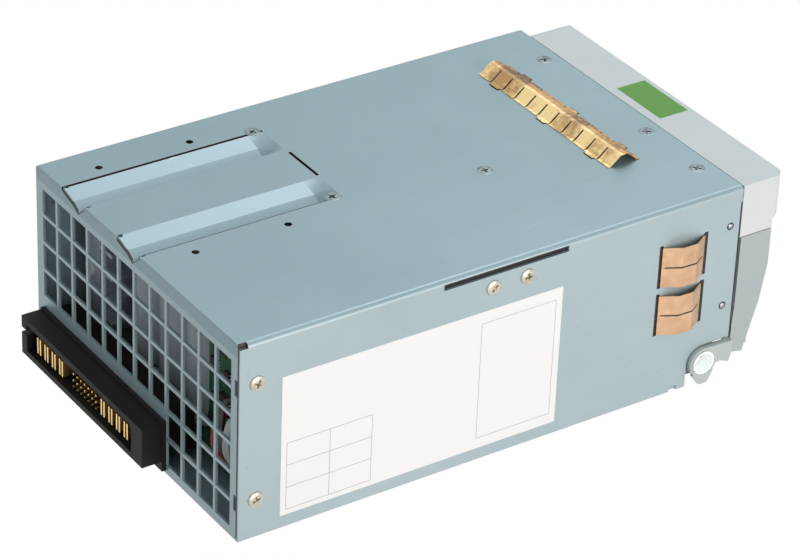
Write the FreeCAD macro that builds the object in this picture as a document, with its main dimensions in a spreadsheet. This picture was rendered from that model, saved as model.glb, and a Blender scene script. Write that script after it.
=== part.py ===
"""Hot swap server power supply: a folded steel case that slides into a server bay.

The case stands on its floor. +Z is up, the blind-mate connector end faces +Y, the end with
the mains inlet, fan and ejector handle faces -Y, and the rating label is on the -X side.
The origin is the middle of the case's floor. Lengths are in millimetres.
"""
import FreeCAD, Part
import Sketcher
import math
import os
import re

from FreeCAD import Placement, Rotation, Vector

doc = FreeCAD.newDocument("hot_swap_power_supply")

# ---------------------------------------------------------------- driving sizes

SIZES = {
    # folded steel case
    "case_width": 131.0,
    "case_length": 197.0,
    "case_height": 74.0,
    "sheet": 1.0,
    "bend_radius": 1.8,
    "seat_gap": 0.05,
    "clear_gap": 0.3,
    # pressed relief on the top, near the connector end
    "relief_length": 77.0,
    "relief_inset": 18.8,
    "relief_pitch": 35.7,
    "relief_slope_run": 6.8,
    "relief_slope_drop": 1.7,
    "relief_valley_run": 3.4,
    "relief_valley_drop": 1.9,
    "relief_rise_run": 4.2,
    "relief_lip": 6.0,
    "relief_slit": 0.8,
    # four holes beside the relief
    "mount_spacing_long": 35.0,
    "mount_spacing_wide": 63.0,
    "mount_inset": 44.2,
    "mount_centre_inset": 34.4,
    "mount_hole_radius": 1.3,
    # square-hole grille
    "grille_columns": 12,
    "grille_rows": 4,
    "grille_side_columns": 4,
    "grille_side_rows": 2,
    "grille_bar_across": 1.25,
    "grille_bar_up": 1.3,
    "grille_margin_far": 4.2,
    "grille_margin_near": 5.05,
    "grille_margin_top": 7.6,
    "grille_margin_bottom": 3.5,
    "grille_plug_gap": 0.5,
    "grille_flange": 13.0,
    # output connector
    "plug_far_inset": 4.2,
    "plug_length": 81.5,
    "plug_bottom": 4.8,
    "plug_height": 14.8,
    "plug_reach": 8.9,
    "plug_flange_bottom": 1.2,
    "plug_flange_height": 19.2,
    "plug_flange_reach": 1.6,
    "plug_body_depth": 12.0,
    "socket_inset_far": 3.5,
    "socket_inset_near": 7.0,
    "socket_height": 10.4,
    "socket_depth": 8.0,
    "blade_pitch": 5.08,
    "blade_height": 6.2,
    "blade_sheet": 0.8,
    "blade_gap": 1.0,
    "blade_first_inset": 14.6,
    "blade_second_inset": 58.2,
    "pin_pitch": 2.54,
    "pin_first_inset": 36.9,
    "pin_width": 0.64,
    "contact_recess": 1.0,
    # front panel, fan and mains inlet
    "front_recess": 2.0,
    "front_flange": 9.0,
    "corner_notch_width": 16.0,
    "corner_notch_depth": 22.0,
    "fan_size": 60.0,
    "fan_depth": 25.0,
    "fan_bore_radius": 28.5,
    "fan_hub_radius": 15.0,
    "fan_wall_gap": 5.0,
    "fan_drop": 0.5,
    "fan_hole_pitch": 50.0,
    "fan_hole_radius": 2.2,
    "fan_shaft_radius": 1.5,
    "fan_running_gap": 0.05,
    "fan_blades": 7,
    "guard_sheet": 1.6,
    "guard_bar": 1.6,
    "guard_pitch": 9.0,
    "guard_eye_radius": 3.9,
    "inlet_inset": 31.5,
    "inlet_centre_up": 24.0,
    "inlet_body_width": 27.0,
    "inlet_body_height": 19.5,
    "inlet_depth": 24.0,
    "inlet_rim": 2.0,
    "light_radius": 1.5,
    "light_pitch": 8.0,
    "light_up": 48.0,
    # ejector handle
    "pivot_inset": 11.9,
    "pivot_up": 8.7,
    "pivot_bore_radius": 4.6,
    "pivot_running_gap": 0.05,
    "pivot_wall": 0.7,
    "bush_lip": 0.25,
    "cam_sheet": 2.4,
    "cam_eye_radius": 5.6,
    "cam_inset": 0.7,
    "arm_sheet": 1.2,
    "arm_depth": 13.0,
    "arm_gap": 1.0,
    "grip_depth": 17.4,
    "grip_wall": 2.4,
    "grip_drop": 20.0,
    "grip_lip_drop": 15.5,
    "grip_far_inset": 4.0,
    "grip_round": 4.0,
    "marker_length": 25.0,
    "marker_depth": 12.0,
    "marker_inset": 64.2,
    "marker_sheet": 0.8,
    # spring contacts for the bay
    "strip_fingers": 11,
    "strip_pitch": 7.0,
    "strip_width": 13.0,
    "strip_rise": 3.7,
    "strip_sheet": 0.25,
    "strip_far_inset": 21.5,
    "strip_front_inset": 26.0,
    "clip_width": 15.2,
    "clip_length": 17.5,
    "clip_rise": 3.8,
    "clip_sheet": 0.25,
    "clip_front_inset": 15.2,
    "clip_upper_bottom": 44.6,
    "clip_lower_bottom": 25.8,
    # label and screws
    "label_length": 108.0,
    "label_height": 53.0,
    "label_rear_inset": 15.6,
    "label_up": 4.6,
    "label_sheet": 0.15,
    "screw_radius": 1.5,
    "screw_head_radius": 2.8,
    "screw_head_height": 1.0,
    "screw_length": 5.0,
    "rivet_radius": 0.8,
    "rivet_head_radius": 1.2,
    "rivet_head_height": 0.4,
    # boards and what stands on them
    "board_up": 6.0,
    "board_sheet": 1.6,
    "board_side_gap": 3.2,
    "board_rear_inset": 13.0,
    "board_front_inset": 34.0,
    "board_hole_inset": 5.0,
    "standoff_radius": 2.9,
    "can_radius": 7.8,
    "can_top_gap": 10.4,
    "can_far_inset": 38.5,
    "can_rear_inset": 24.0,
    "can_pitch_share": 0.134,
    "bulk_radius": 10.0,
    "bulk_tall": 47.0,
    "bulk_rear_inset": 48.0,
    "bulk_pitch_share": 0.18,
    "sink_sheet": 3.0,
    "fin_sheet": 1.4,
    "fin_run": 8.0,
    "output_sink_far_inset": 13.0,
    "output_sink_rear_inset": 15.2,
    "output_sink_rise": 10.0,
    "output_sink_length": 76.0,
    "output_sink_top_gap": 8.4,
    "output_sink_face": 10.0,
    "face_sheet": 2.0,
    "face_screw_inset": 9.5,
    "primary_sink_far_inset": 42.5,
    "primary_sink_front_inset": 46.0,
    "primary_sink_length": 52.5,
    "primary_sink_tall": 52.0,
    "output_choke_near_inset": 21.5,
    "output_choke_rear_inset": 64.0,
    "output_choke_radius": 10.0,
    "output_choke_half": 5.0,
    "boost_choke_near_inset": 35.5,
    "boost_choke_front_inset": 78.5,
    "boost_choke_radius": 12.0,
    "boost_choke_half": 6.0,
    "winding_near_inset": 7.5,
    "winding_rear_inset": 19.0,
    "winding_width": 17.0,
    "winding_length": 28.0,
    "core_inset": 2.0,
    "core_bar": 6.0,
    "core_height": 36.0,
    "control_rear_inset": 18.4,
    "control_gap": 1.0,
    "filter_front_inset": 47.0,
    "filter_length": 22.0,
    "filter_far_inset": 13.5,
    "filter_width": 16.0,
    "filter_tall": 22.0,
    "rectifier_front_inset": 77.0,
    "rectifier_length": 16.0,
    "rectifier_width": 4.0,
    "rectifier_tall": 24.0,
    "fuse_near_inset": 9.5,
    "fuse_front_inset": 45.0,
    "fuse_width": 6.0,
    "fuse_length": 22.0,
    "fuse_tall": 8.0,
}

sheet = doc.addObject("Spreadsheet::Sheet", "Sizes")
for row, (alias, value) in enumerate(SIZES.items(), start=1):
    sheet.set(f"A{row}", alias)
    sheet.set(f"B{row}", str(value))
    sheet.setAlias(f"B{row}", alias)
doc.recompute()

# Places that many pieces share, as formulas on the sheet.
LEFT = "-case_width / 2"
RIGHT = "case_width / 2"
FRONT = "-case_length / 2"
REAR = "case_length / 2"
TOP = "case_height"
INNER_LEFT = "(sheet + seat_gap - case_width / 2)"
INNER_RIGHT = "(case_width / 2 - sheet - seat_gap)"
UNDER_TOP = "(case_height - sheet - seat_gap)"
RELIEF_FAR = "(case_width / 2 - relief_inset)"
RELIEF_SECOND = "(case_width / 2 - relief_inset - relief_pitch)"
GROOVE_RUN = "(relief_slope_run + relief_valley_run + relief_rise_run)"
RELIEF_NEAR = f"({RELIEF_SECOND} - {GROOVE_RUN})"
RELIEF_FRONT = "(case_length / 2 - relief_length)"
MOUNT_X = "(case_width / 2 - mount_inset)"
PLUG_FAR = "(case_width / 2 - plug_far_inset)"
PLUG_NEAR = "(case_width / 2 - plug_far_inset - plug_length)"
FAN_SPOT = ("(fan_wall_gap + fan_size / 2 - case_width / 2)", "(case_height / 2 - fan_drop)")
INLET_X = "(case_width / 2 - inlet_inset)"

# ---------------------------------------------------------------- helpers

NODES = []


def formula(text):
    """Write an expression with each size's name led back to the sheet."""
    return re.sub(r"[a-z_]+", lambda word: qualified(word.group()), str(text))


def qualified(word):
    """The cell behind one word of an expression, or the word itself."""
    return "Sizes." + word if word in SIZES else word


def number(text):
    """The present value of an expression."""
    return float(sheet.evalExpression(formula(text)))


def bind(item, **formulas):
    """Tie properties to the sheet; a double underscore stands for a dot."""
    for name, text in formulas.items():
        item.setExpression(name.replace("__", "."), formula(text))
    return item


def place(item, x=0, y=0, z=0):
    """Tie an object's position to the sheet."""
    return bind(item, Placement__Base__x=x, Placement__Base__y=y, Placement__Base__z=z)


def node(name, item):
    """Name a finished sub-part."""
    item.Label = name
    NODES.append(item)
    return item


def block(name, x, y, z):
    """A block between pairs of formulas along X, Y and Z."""
    solid = place(doc.addObject("Part::Box", name), x[0], y[0], z[0])
    return bind(
        solid,
        Length=f"({x[1]}) - ({x[0]})",
        Width=f"({y[1]}) - ({y[0]})",
        Height=f"({z[1]}) - ({z[0]})",
    )


AXIS_TURNS = {
    "X": Rotation(Vector(0, 1, 0), 90),
    "Y": Rotation(Vector(1, 0, 0), -90),
    "Z": Rotation(),
}


def aim(solid, axis, start, across):
    """Turn a round solid's own Z to an axis and set its first end on it."""
    solid.Placement = Placement(Vector(), AXIS_TURNS[axis])
    u, v = across
    spots = {"X": (start, u, v), "Y": (u, start, v), "Z": (u, v, start)}
    return place(solid, *spots[axis])


def rod(name, axis, start, end, radius, across):
    """A cylinder along an axis; across holds its two other coordinates."""
    solid = aim(doc.addObject("Part::Cylinder", name), axis, start, across)
    return bind(solid, Radius=radius, Height=f"({end}) - ({start})")


def cone(name, axis, start, end, first_radius, last_radius, across):
    """A cone along an axis, from its first radius to its last."""
    solid = aim(doc.addObject("Part::Cone", name), axis, start, across)
    return bind(solid, Radius1=first_radius, Radius2=last_radius, Height=f"({end}) - ({start})")


def ring(name, axis, at, radius, wire_radius, across):
    """A torus around an axis."""
    solid = aim(doc.addObject("Part::Torus", name), axis, at, across)
    return bind(solid, Radius1=radius, Radius2=wire_radius)


def fuse(name, *solids):
    """Join solids into one."""
    joined = doc.addObject("Part::MultiFuse", name)
    joined.Shapes = list(solids)
    return joined


def group(name, *solids):
    """Keep separate solids together as one node."""
    together = doc.addObject("Part::Compound", name)
    together.Links = list(solids)
    return together


def cut(name, base, *tools):
    """Take tools away from a base."""
    remainder = doc.addObject("Part::Cut", name)
    remainder.Base = base
    remainder.Tool = tools[0] if len(tools) == 1 else group(name + "_tools", *tools)
    return remainder


def origin_plane(body, role):
    """One of a body's own origin planes."""
    return next(item for item in body.Origin.OriginFeatures if item.Role == role + "_Plane")


def sketch_on(body, role, offset):
    """A sketch on a body's XY, XZ or YZ plane, moved to a coordinate on the plane's normal."""
    sketch = body.newObject("Sketcher::SketchObject", body.Name + "_sketch")
    sketch.AttachmentSupport = (origin_plane(body, role), [""])
    sketch.MapMode = "FlatFace"
    sign = "-1" if role == "XZ" else "1"
    return bind(sketch, AttachmentOffset__Base__z=f"{sign} * ({offset})")


def pin_point(sketch, line, corner, x, y):
    """Hold a line's first point at two formulas."""
    for kind, text in (("DistanceX", x), ("DistanceY", y)):
        rule = sketch.addConstraint(Sketcher.Constraint(kind, -1, 1, line, corner, number(text)))
        name = f"{kind}{line}"
        sketch.renameConstraint(rule, name)
        sketch.setExpression("Constraints." + name, formula(text))


def polygon(sketch, corners):
    """A closed outline whose corners are pairs of formulas."""
    first = sketch.GeometryCount
    count = len(corners)
    spots = [Vector(number(x), number(y), 0) for x, y in corners]
    for index in range(count):
        sketch.addGeometry(Part.LineSegment(spots[index], spots[(index + 1) % count]))
    for index in range(count):
        follower = first + (index + 1) % count
        sketch.addConstraint(Sketcher.Constraint("Coincident", first + index, 2, follower, 1))
    for index, (x, y) in enumerate(corners):
        pin_point(sketch, first + index, 1, x, y)


def circle(sketch, x, y, radius):
    """A circle whose centre and radius are formulas."""
    centre = Vector(number(x), number(y), 0)
    index = sketch.addGeometry(Part.Circle(centre, Vector(0, 0, 1), number(radius)))
    pin_point(sketch, index, 3, x, y)
    rule = sketch.addConstraint(Sketcher.Constraint("Radius", index, number(radius)))
    sketch.renameConstraint(rule, f"Radius{index}")
    sketch.setExpression(f"Constraints.Radius{index}", formula(radius))


def pad(body, role, start, end, corners):
    """Add a prism of an outline between two coordinates on the plane's normal."""
    sketch = sketch_on(body, role, start)
    polygon(sketch, corners)
    prism = body.newObject("PartDesign::Pad", body.Name + "_pad")
    prism.Profile = sketch
    prism.Reversed = role == "XZ"
    return bind(prism, Length=f"({end}) - ({start})")


def pocket(body, role, start, end, corners=(), circles=()):
    """Cut outlines and circles between two coordinates on the plane's normal."""
    sketch = sketch_on(body, role, start)
    if corners:
        polygon(sketch, corners)
    for x, y, radius in circles:
        circle(sketch, x, y, radius)
    hole = body.newObject("PartDesign::Pocket", body.Name + "_pocket")
    hole.Profile = sketch
    hole.Reversed = role != "XZ"
    return bind(hole, Length=f"({end}) - ({start})")


def rectangle(x, y):
    """An outline between two pairs of formulas."""
    return ((x[0], y[0]), (x[1], y[0]), (x[1], y[1]), (x[0], y[1]))


def repeat(body, feature, sketch_axis, pitch, count):
    """One step of a pattern along a sketch's own axis."""
    pattern = body.newObject("PartDesign::LinearPattern", body.Name + "_pattern")
    pattern.Direction = (feature.Profile[0], [sketch_axis])
    pattern.Mode = "Spacing"
    return bind(pattern, Offset=pitch, Occurrences=count)


def grid(body, feature, across, up):
    """Repeat a feature along its sketch's two axes; each is a pitch and a count."""
    field = body.newObject("PartDesign::MultiTransform", body.Name + "_grid")
    steps = [repeat(body, feature, "H_Axis", *across), repeat(body, feature, "V_Axis", *up)]
    field.Originals = [feature]
    field.Transformations = steps
    body.Tip = field
    return field


def round_edges(body, radius, chosen):
    """Fillet the edges of a body's last feature that a test picks by its middle and length."""
    doc.recompute()
    base = body.Tip
    names = [
        f"Edge{index}"
        for index, edge in enumerate(base.Shape.Edges, start=1)
        if chosen(edge.CenterOfMass, edge.BoundBox)
    ]
    fillet = body.newObject("PartDesign::Fillet", body.Name + "_fillet")
    fillet.Base = (base, names)
    return bind(fillet, Radius=radius)


# ---------------------------------------------------------------- places shared by the case's pieces

HOLE_ROW_X = (MOUNT_X + " - mount_spacing_wide / 2", MOUNT_X + " + mount_spacing_wide / 2")
HOLE_ROW_Y = (
    "case_length / 2 - mount_centre_inset - mount_spacing_long / 2",
    "case_length / 2 - mount_centre_inset + mount_spacing_long / 2",
)
TOP_SCREWS = (
    (RELIEF_FAR + " + 1.6", RELIEF_FRONT + " + 3"),
    (RELIEF_NEAR + " + 1.2", RELIEF_FRONT + " + 3"),
    (MOUNT_X + " - 34.3", "case_length / 2 - 127.8"),
)
PANEL_SCREWS = (
    (RIGHT + " - 23.9", "front_recess + 3.8 - case_length / 2"),
    (LEFT + " + 46.8", "front_recess + 3.8 - case_length / 2"),
    (LEFT + " + 17.8", "front_recess + 4.2 - case_length / 2"),
)
SIDE_SCREW_UP = ("14.6", "58.5")
SIDE_SCREW_Y = "case_length / 2 - 6.4"
EAR_SCREWS = (("case_length / 2 - 95.4", "case_height - 8.2"), ("case_length / 2 - 108.8", "case_height - 8"))
STRIP_Y = "strip_front_inset - case_length / 2"
STRIP_FAR = "(case_width / 2 - strip_far_inset)"
STRIP_NEAR = "(case_width / 2 - strip_far_inset - strip_fingers * strip_pitch)"
CLIP_FRONT = "(clip_front_inset - case_length / 2)"
CLIP_REAR = "(clip_front_inset + clip_length - case_length / 2)"
PIVOT_Y = "(pivot_inset - case_length / 2)"
CAM_NOTCH_RADIUS = "cam_eye_radius + 0.6"
RIVETS = (("front_recess + 2.3 - case_length / 2", "case_height - 14.3"),
          ("front_recess + 2.6 - case_length / 2", "case_height - 45.4"))


def relief_line(start, depth):
    """The pressed relief's section from its far edge: a slope, a steeper valley side and a rise."""
    fall = f"({start}) - relief_slope_run"
    valley = f"{fall} - relief_valley_run"
    low = f"{depth} - relief_slope_drop - relief_valley_drop"
    return [
        (start, depth),
        (fall, f"{depth} - relief_slope_drop"),
        (valley, low),
        (f"{valley} - relief_rise_run", depth),
    ]


def relief_outline(depth):
    """Both grooves and the flat between them, as one bent strip of sheet."""
    upper = relief_line(RELIEF_FAR, "case_height")
    upper += relief_line(RELIEF_SECOND, "case_height")
    lower = relief_line(RELIEF_FAR, depth) + relief_line(RELIEF_SECOND, depth)
    return upper + lower[::-1]


def flat_outline():
    """The same strip where the grooves have run out."""
    xs = [x for x, _ in relief_outline("case_height - sheet")]
    half = len(xs) // 2
    return [(x, "case_height") for x in xs[:half]] + [(x, "case_height - sheet") for x in xs[half:]]


# ---------------------------------------------------------------- folded case


def section_wire(name, y, corners):
    """A sketch of a closed outline across the case at one Y."""
    sketch = doc.addObject("Sketcher::SketchObject", name)
    sketch.Placement = Placement(Vector(), Rotation(Vector(1, 0, 0), 90))
    bind(sketch, Placement__Base__y=y)
    polygon(sketch, corners)
    return sketch


def relief_sheet():
    """The pressed strip: constant to near its front end, where the grooves run out."""
    runout = f"{RELIEF_FRONT} + relief_lip"
    outline = relief_outline("case_height - sheet")
    body = doc.addObject("PartDesign::Body", "relief_strip")
    pad(body, "XZ", runout, REAR, outline)
    taper = doc.addObject("Part::Loft", "relief_runout")
    taper.Sections = [
        section_wire("relief_runout_deep", runout, outline),
        section_wire("relief_runout_flat", RELIEF_FRONT, flat_outline()),
    ]
    taper.Solid = True
    taper.Ruled = True
    return [body, taper]


def cover_shell():
    """The folded U of top and two sides, before its holes."""
    body = doc.addObject("PartDesign::Body", "cover_fold")
    pad(body, "XZ", FRONT, REAR, rectangle((LEFT, RIGHT), ("0", TOP)))
    outside = round_edges(
        body,
        "bend_radius",
        lambda middle, box: middle.z > number("case_height - 0.1") and box.YLength > number("case_length - 1"),
    )
    body.Tip = outside
    inside = ("sheet - case_width / 2", "case_width / 2 - sheet")
    pocket(body, "XZ", "-case_length / 2 - 1", "case_length / 2 + 1",
           rectangle(inside, ("-1", "case_height - sheet")))
    return body


def top_openings():
    """What is cut from the folded sheet's top."""
    relief = block("relief_window", (RELIEF_NEAR, RELIEF_FAR + " + relief_slit"),
                   (RELIEF_FRONT, "case_length / 2 + 1"), ("case_height - sheet - 1", "case_height + 1"))
    cross_slit = block("relief_cross_slit", (f"{RELIEF_SECOND} + 1", f"{RELIEF_SECOND} + 19"),
                       (f"{RELIEF_FRONT} - relief_slit", RELIEF_FRONT), ("case_height - sheet - 1", "case_height + 1"))
    holes = [relief, cross_slit]
    for column, x in enumerate(HOLE_ROW_X):
        for row, y in enumerate(HOLE_ROW_Y):
            holes.append(rod(f"mount_hole_{column}{row}", "Z", "case_height - sheet - 1", "case_height + 1",
                             "mount_hole_radius", (x, y)))
    for index in (1, 5, 9):
        finger = f"{STRIP_FAR} - strip_pitch * ({index} + 0.5)"
        for side in ("-1", "1"):
            edge = f"{STRIP_Y} + {side} * (strip_width / 2 + 0.6)"
            holes.append(block(f"strip_slot_{index}_{side}".replace("-", "m"), (f"{finger} - 2.6", f"{finger} + 2.6"),
                               (f"{edge} - 0.6", f"{edge} + 0.6"), ("case_height - sheet - 1", "case_height + 1")))
    return holes


def screw_void(name, axis, surface, spot):
    """A clearance hole with a countersink for a flat-headed screw."""
    hole = rod(name + "_bore", axis, f"{surface} - screw_length - 1", f"{surface} + 1", "screw_radius + seat_gap", spot)
    seat = cone(name + "_seat", axis, f"{surface} - screw_head_height", surface,
                "screw_radius + seat_gap", "screw_head_radius + seat_gap", spot)
    return group(name, hole, seat)


def side_openings():
    """What is cut from the folded sheet's sides."""
    holes = []
    span = (LEFT + " - 1", LEFT + " + sheet + 1")
    slot_y = ("case_length / 2 - 125", "case_length / 2 - 76")
    holes.append(block("vent_slot", span, slot_y, ("case_height - sheet - 2.6", "case_height - sheet - 0.4")))
    for level in ("clip_upper_bottom", "clip_lower_bottom"):
        for edge in (CLIP_FRONT, CLIP_REAR):
            holes.append(block(f"{level}_slot_{edge == CLIP_REAR:d}", span, (f"{edge} - 0.5", f"{edge} + 0.5"),
                               (f"{level} - 0.3", f"{level} + clip_width + 0.3")))
    for side, sign in (("left", "-1"), ("right", "1")):
        wall = f"{sign} * (case_width / 2 - sheet / 2)"
        reach = (f"{wall} - sheet - 2", f"{wall} + sheet + 2")
        notch = rod(f"cam_notch_round_{side}", "X", *reach, CAM_NOTCH_RADIUS, (PIVOT_Y, "pivot_up"))
        mouth = block(f"cam_notch_mouth_{side}", reach, ("-case_length / 2 - 1", PIVOT_Y),
                      ("-1", "pivot_up + cam_eye_radius + 0.6"))
        heel = block(f"cam_notch_heel_{side}", reach, (PIVOT_Y, f"{PIVOT_Y} + {CAM_NOTCH_RADIUS}"),
                     ("-1", "pivot_up"))
        holes += [notch, mouth, heel]
        for index, up in enumerate(SIDE_SCREW_UP):
            holes.append(rod(f"side_hole_{side}_{index}", "X", *reach, "screw_radius + seat_gap", (SIDE_SCREW_Y, up)))
        for index, spot in enumerate(RIVETS):
            holes.append(rod(f"rivet_hole_{side}_{index}", "X", *reach, "rivet_radius + seat_gap", spot))
        holes.append(block(f"edge_nick_{side}", reach, (f"{PIVOT_Y} + 10", f"{PIVOT_Y} + 13"), ("-1", "2")))
    for index, spot in enumerate(EAR_SCREWS):
        holes.append(rod(f"ear_hole_{index}", "X", *span, "screw_radius + seat_gap", spot))
    holes.append(rod("corner_nick", "Y", REAR + " - 2.8", REAR + " + 1", "1.4", (LEFT, TOP)))
    return holes


def top_cover():
    """Top and both sides of the case, folded from one sheet."""
    opened = cut("cover_opened", cover_shell(), *top_openings(), *side_openings())
    whole = fuse("cover_whole", opened, *relief_sheet())
    voids = [screw_void(f"top_screw_void_{index}", "Z", TOP, spot)
             for index, spot in enumerate(TOP_SCREWS + PANEL_SCREWS)]
    ends = (RELIEF_FAR + " + relief_slit / 2", f"{RELIEF_FAR} - {GROOVE_RUN}", RELIEF_SECOND, RELIEF_NEAR)
    voids += [rod(f"groove_eye_{index}", "Z", "case_height - sheet - 1", "case_height + 1", "0.9",
                  (x, "case_length / 2 - 1.2")) for index, x in enumerate(ends)]
    return node("top_cover", cut("cover_drilled", whole, *voids))


def corner_notches(name, y, z, width="corner_notch_width"):
    """Blocks that clear the ejector cams at both lower front corners."""
    left = block(name + "_left", (LEFT + " - 1", f"{LEFT} + {width}"), y, z)
    right = block(name + "_right", (f"{RIGHT} - {width}", RIGHT + " + 1"), y, z)
    return [left, right]


def base_tray():
    """The floor of the case, with flanges folded up inside the sides."""
    floor = block("tray_floor", (INNER_LEFT, INNER_RIGHT), (FRONT, REAR), ("0", "sheet"))
    run = ("corner_notch_depth - case_length / 2", "case_length / 2 - grille_flange - 1")
    left = block("tray_flange_left", (INNER_LEFT, INNER_LEFT + " + sheet"), run, ("0", "12"))
    right = block("tray_flange_right", (INNER_RIGHT + " - sheet", INNER_RIGHT), run, ("0", "12"))
    notches = corner_notches("tray_notch", ("-case_length / 2 - 1", "corner_notch_depth - case_length / 2"),
                             ("-1", "sheet + 1"))
    return node("base_tray", cut("tray_cut", fuse("tray_fold", floor, left, right), *notches))


def rear_grille():
    """The wall of square holes at the connector end, with flanges inside the sides."""
    body = doc.addObject("PartDesign::Body", "grille_wall")
    pad(body, "XZ", "case_length / 2 - sheet", REAR, rectangle((INNER_LEFT, INNER_RIGHT), ("sheet", UNDER_TOP)))
    through = ("case_length / 2 - sheet - 1", "case_length / 2 + 1")
    first_x = LEFT + " + grille_margin_near"
    pitch_x = "((case_width - grille_margin_near - grille_margin_far + grille_bar_across) / grille_columns)"
    rows = "(grille_rows + grille_side_rows)"
    pitch_z = f"((case_height - grille_margin_top - grille_margin_bottom + grille_bar_up) / {rows})"
    low_z = "grille_margin_bottom"
    first_z = f"(grille_margin_bottom + grille_side_rows * {pitch_z})"
    upper = pocket(body, "XZ", *through, rectangle(
        (first_x, f"{first_x} + {pitch_x} - grille_bar_across"), (first_z, f"{first_z} + {pitch_z} - grille_bar_up")))
    grid(body, upper, (pitch_x, "grille_columns"), (pitch_z, "grille_rows"))
    beside = f"({PLUG_NEAR} - grille_plug_gap - ({first_x}) + grille_bar_across)"
    side_pitch = f"({beside} / grille_side_columns)"
    lower = pocket(body, "XZ", *through, rectangle(
        (first_x, f"{first_x} + {side_pitch} - grille_bar_across"), (low_z, f"{low_z} + {pitch_z} - grille_bar_up")))
    grid(body, lower, (side_pitch, "grille_side_columns"), (pitch_z, "grille_side_rows"))
    pocket(body, "XZ", *through, rectangle(
        (PLUG_NEAR + " + 1.5", PLUG_FAR + " - 1.5"),
        ("plug_bottom - 0.5", "plug_bottom + plug_height + 0.5")))
    margin = (f"{LEFT} + 1.4", f"{LEFT} + 3")
    for low, tall in (("11", "6"), ("54.4", "6")):
        pocket(body, "XZ", *through, rectangle(margin, (low, f"{low} + {tall}")))
    relief = relief_outline("case_height - sheet - 1")
    for start in (0, 4):
        corners = [(x, z + " - sheet - clear_gap") for x, z in relief[start:start + 4]]
        lid = [(corners[-1][0], "case_height + 1"), (corners[0][0], "case_height + 1")]
        pocket(body, "XZ", *through, corners + lid)
    flange_y = ("case_length / 2 - grille_flange", "case_length / 2 - sheet / 2")
    pieces = [body]
    for side, near, far_side in (("left", INNER_LEFT, INNER_LEFT + " + sheet"),
                                 ("right", INNER_RIGHT + " - sheet", INNER_RIGHT)):
        flange = block(f"grille_flange_{side}", (near, far_side), flange_y, ("1.3", "66"))
        holes = [rod(f"grille_flange_hole_{side}_{index}", "X", near + " - 1", far_side + " + 1",
                     "screw_radius + seat_gap", (SIDE_SCREW_Y, up)) for index, up in enumerate(SIDE_SCREW_UP)]
        pieces.append(cut(f"grille_flange_drilled_{side}", flange, *holes))
    return node("rear_grille", fuse("grille_whole", *pieces))


PANEL_FACE = "(front_recess - case_length / 2)"
PANEL_BACK = "(front_recess + sheet - case_length / 2)"


def fan_corners():
    """The fan's four screw places across its face."""
    half = "fan_hole_pitch / 2"
    x, z = FAN_SPOT
    return [(f"{x} + {u} * {half}", f"{z} + {v} * {half}") for u in ("-1", "1") for v in ("-1", "1")]


def light_spots():
    """The places of the three status lights."""
    return [(f"{INLET_X} + {step} * light_pitch", "light_up") for step in ("-1", "0", "1")]


def front_panel():
    """The wall behind the handle, with its fan opening, mains inlet and status lights."""
    body = doc.addObject("PartDesign::Body", "panel_wall")
    pad(body, "XZ", PANEL_FACE, PANEL_BACK, rectangle((INNER_LEFT, INNER_RIGHT), ("sheet", UNDER_TOP)))
    through = (PANEL_FACE + " - 1", PANEL_BACK + " + 1")
    rounds = [(*FAN_SPOT, "fan_bore_radius")]
    rounds += [(x, z, "fan_hole_radius") for x, z in fan_corners()]
    rounds += [(x, z, "light_radius + seat_gap") for x, z in light_spots()]
    pocket(body, "XZ", *through, circles=rounds)
    pocket(body, "XZ", *through, rectangle(
        (INLET_X + " - inlet_body_width / 2 - seat_gap",
         INLET_X + " + inlet_body_width / 2 + seat_gap"),
        ("inlet_centre_up - inlet_body_height / 2 - seat_gap",
         "inlet_centre_up + inlet_body_height / 2 + seat_gap")))
    slot_x = INLET_X + " + inlet_body_width / 2 + 4"
    slot = pocket(body, "XZ", *through, rectangle((slot_x, f"{slot_x} + 8"), ("20", "22.5")))
    grid(body, slot, ("100", "1"), ("5", "9"))
    flange = block("panel_flange", (INNER_LEFT + " + 2", INNER_RIGHT + " - 2"),
                   (PANEL_FACE, PANEL_FACE + " + front_flange"), (UNDER_TOP + " - sheet", UNDER_TOP))
    holes = [rod(f"panel_flange_hole_{index}", "Z", "case_height - 4", "case_height + 1",
                 "screw_radius + seat_gap", spot) for index, spot in enumerate(PANEL_SCREWS)]
    folds = [body, flange]
    for side, x in (("left", (INNER_LEFT, INNER_LEFT + " + sheet")), ("right", (INNER_RIGHT + " - sheet", INNER_RIGHT))):
        folds.append(block("panel_fold_" + side, x, (PANEL_FACE, PANEL_FACE + " + front_flange"),
                           ("pivot_up + cam_eye_radius + 3", "case_height - 8")))
        holes += [rod(f"panel_rivet_hole_{side}_{index}", "X", x[0] + " - 1", x[1] + " + 1",
                      "rivet_radius + seat_gap", spot) for index, spot in enumerate(RIVETS)]
    notches = corner_notches("panel_notch", through, ("-1", "pivot_up + cam_eye_radius + 2"), "10")
    return node("front_panel", cut("panel_cut", fuse("panel_fold", *folds), *holes, *notches))


# ---------------------------------------------------------------- screws, rivets and label


def flat_screw(name, axis, surface, spot):
    """A flat-headed screw whose head is level with the surface, less its cross recess."""
    head = cone(name + "_head", axis, f"{surface} - screw_head_height", surface,
                "screw_radius", "screw_head_radius", spot)
    shank = rod(name + "_shank", axis, f"{surface} - screw_length", f"{surface} - screw_head_height",
                "screw_radius", spot)
    return fuse(name, head, shank)


def side_screw(name, outward, surface, spot, length="screw_length"):
    """A low round-headed screw standing on a side wall; outward is 1 on the right, -1 on the left."""
    ends = sorted((f"{surface} + {outward} * screw_head_height", surface), key=number)
    head = rod(name + "_head", "X", *ends, "screw_head_radius", spot)
    ends = sorted((surface, f"{surface} - {outward} * {length}"), key=number)
    shank = rod(name + "_shank", "X", *ends, "screw_radius", spot)
    return fuse(name, head, shank)


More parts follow.
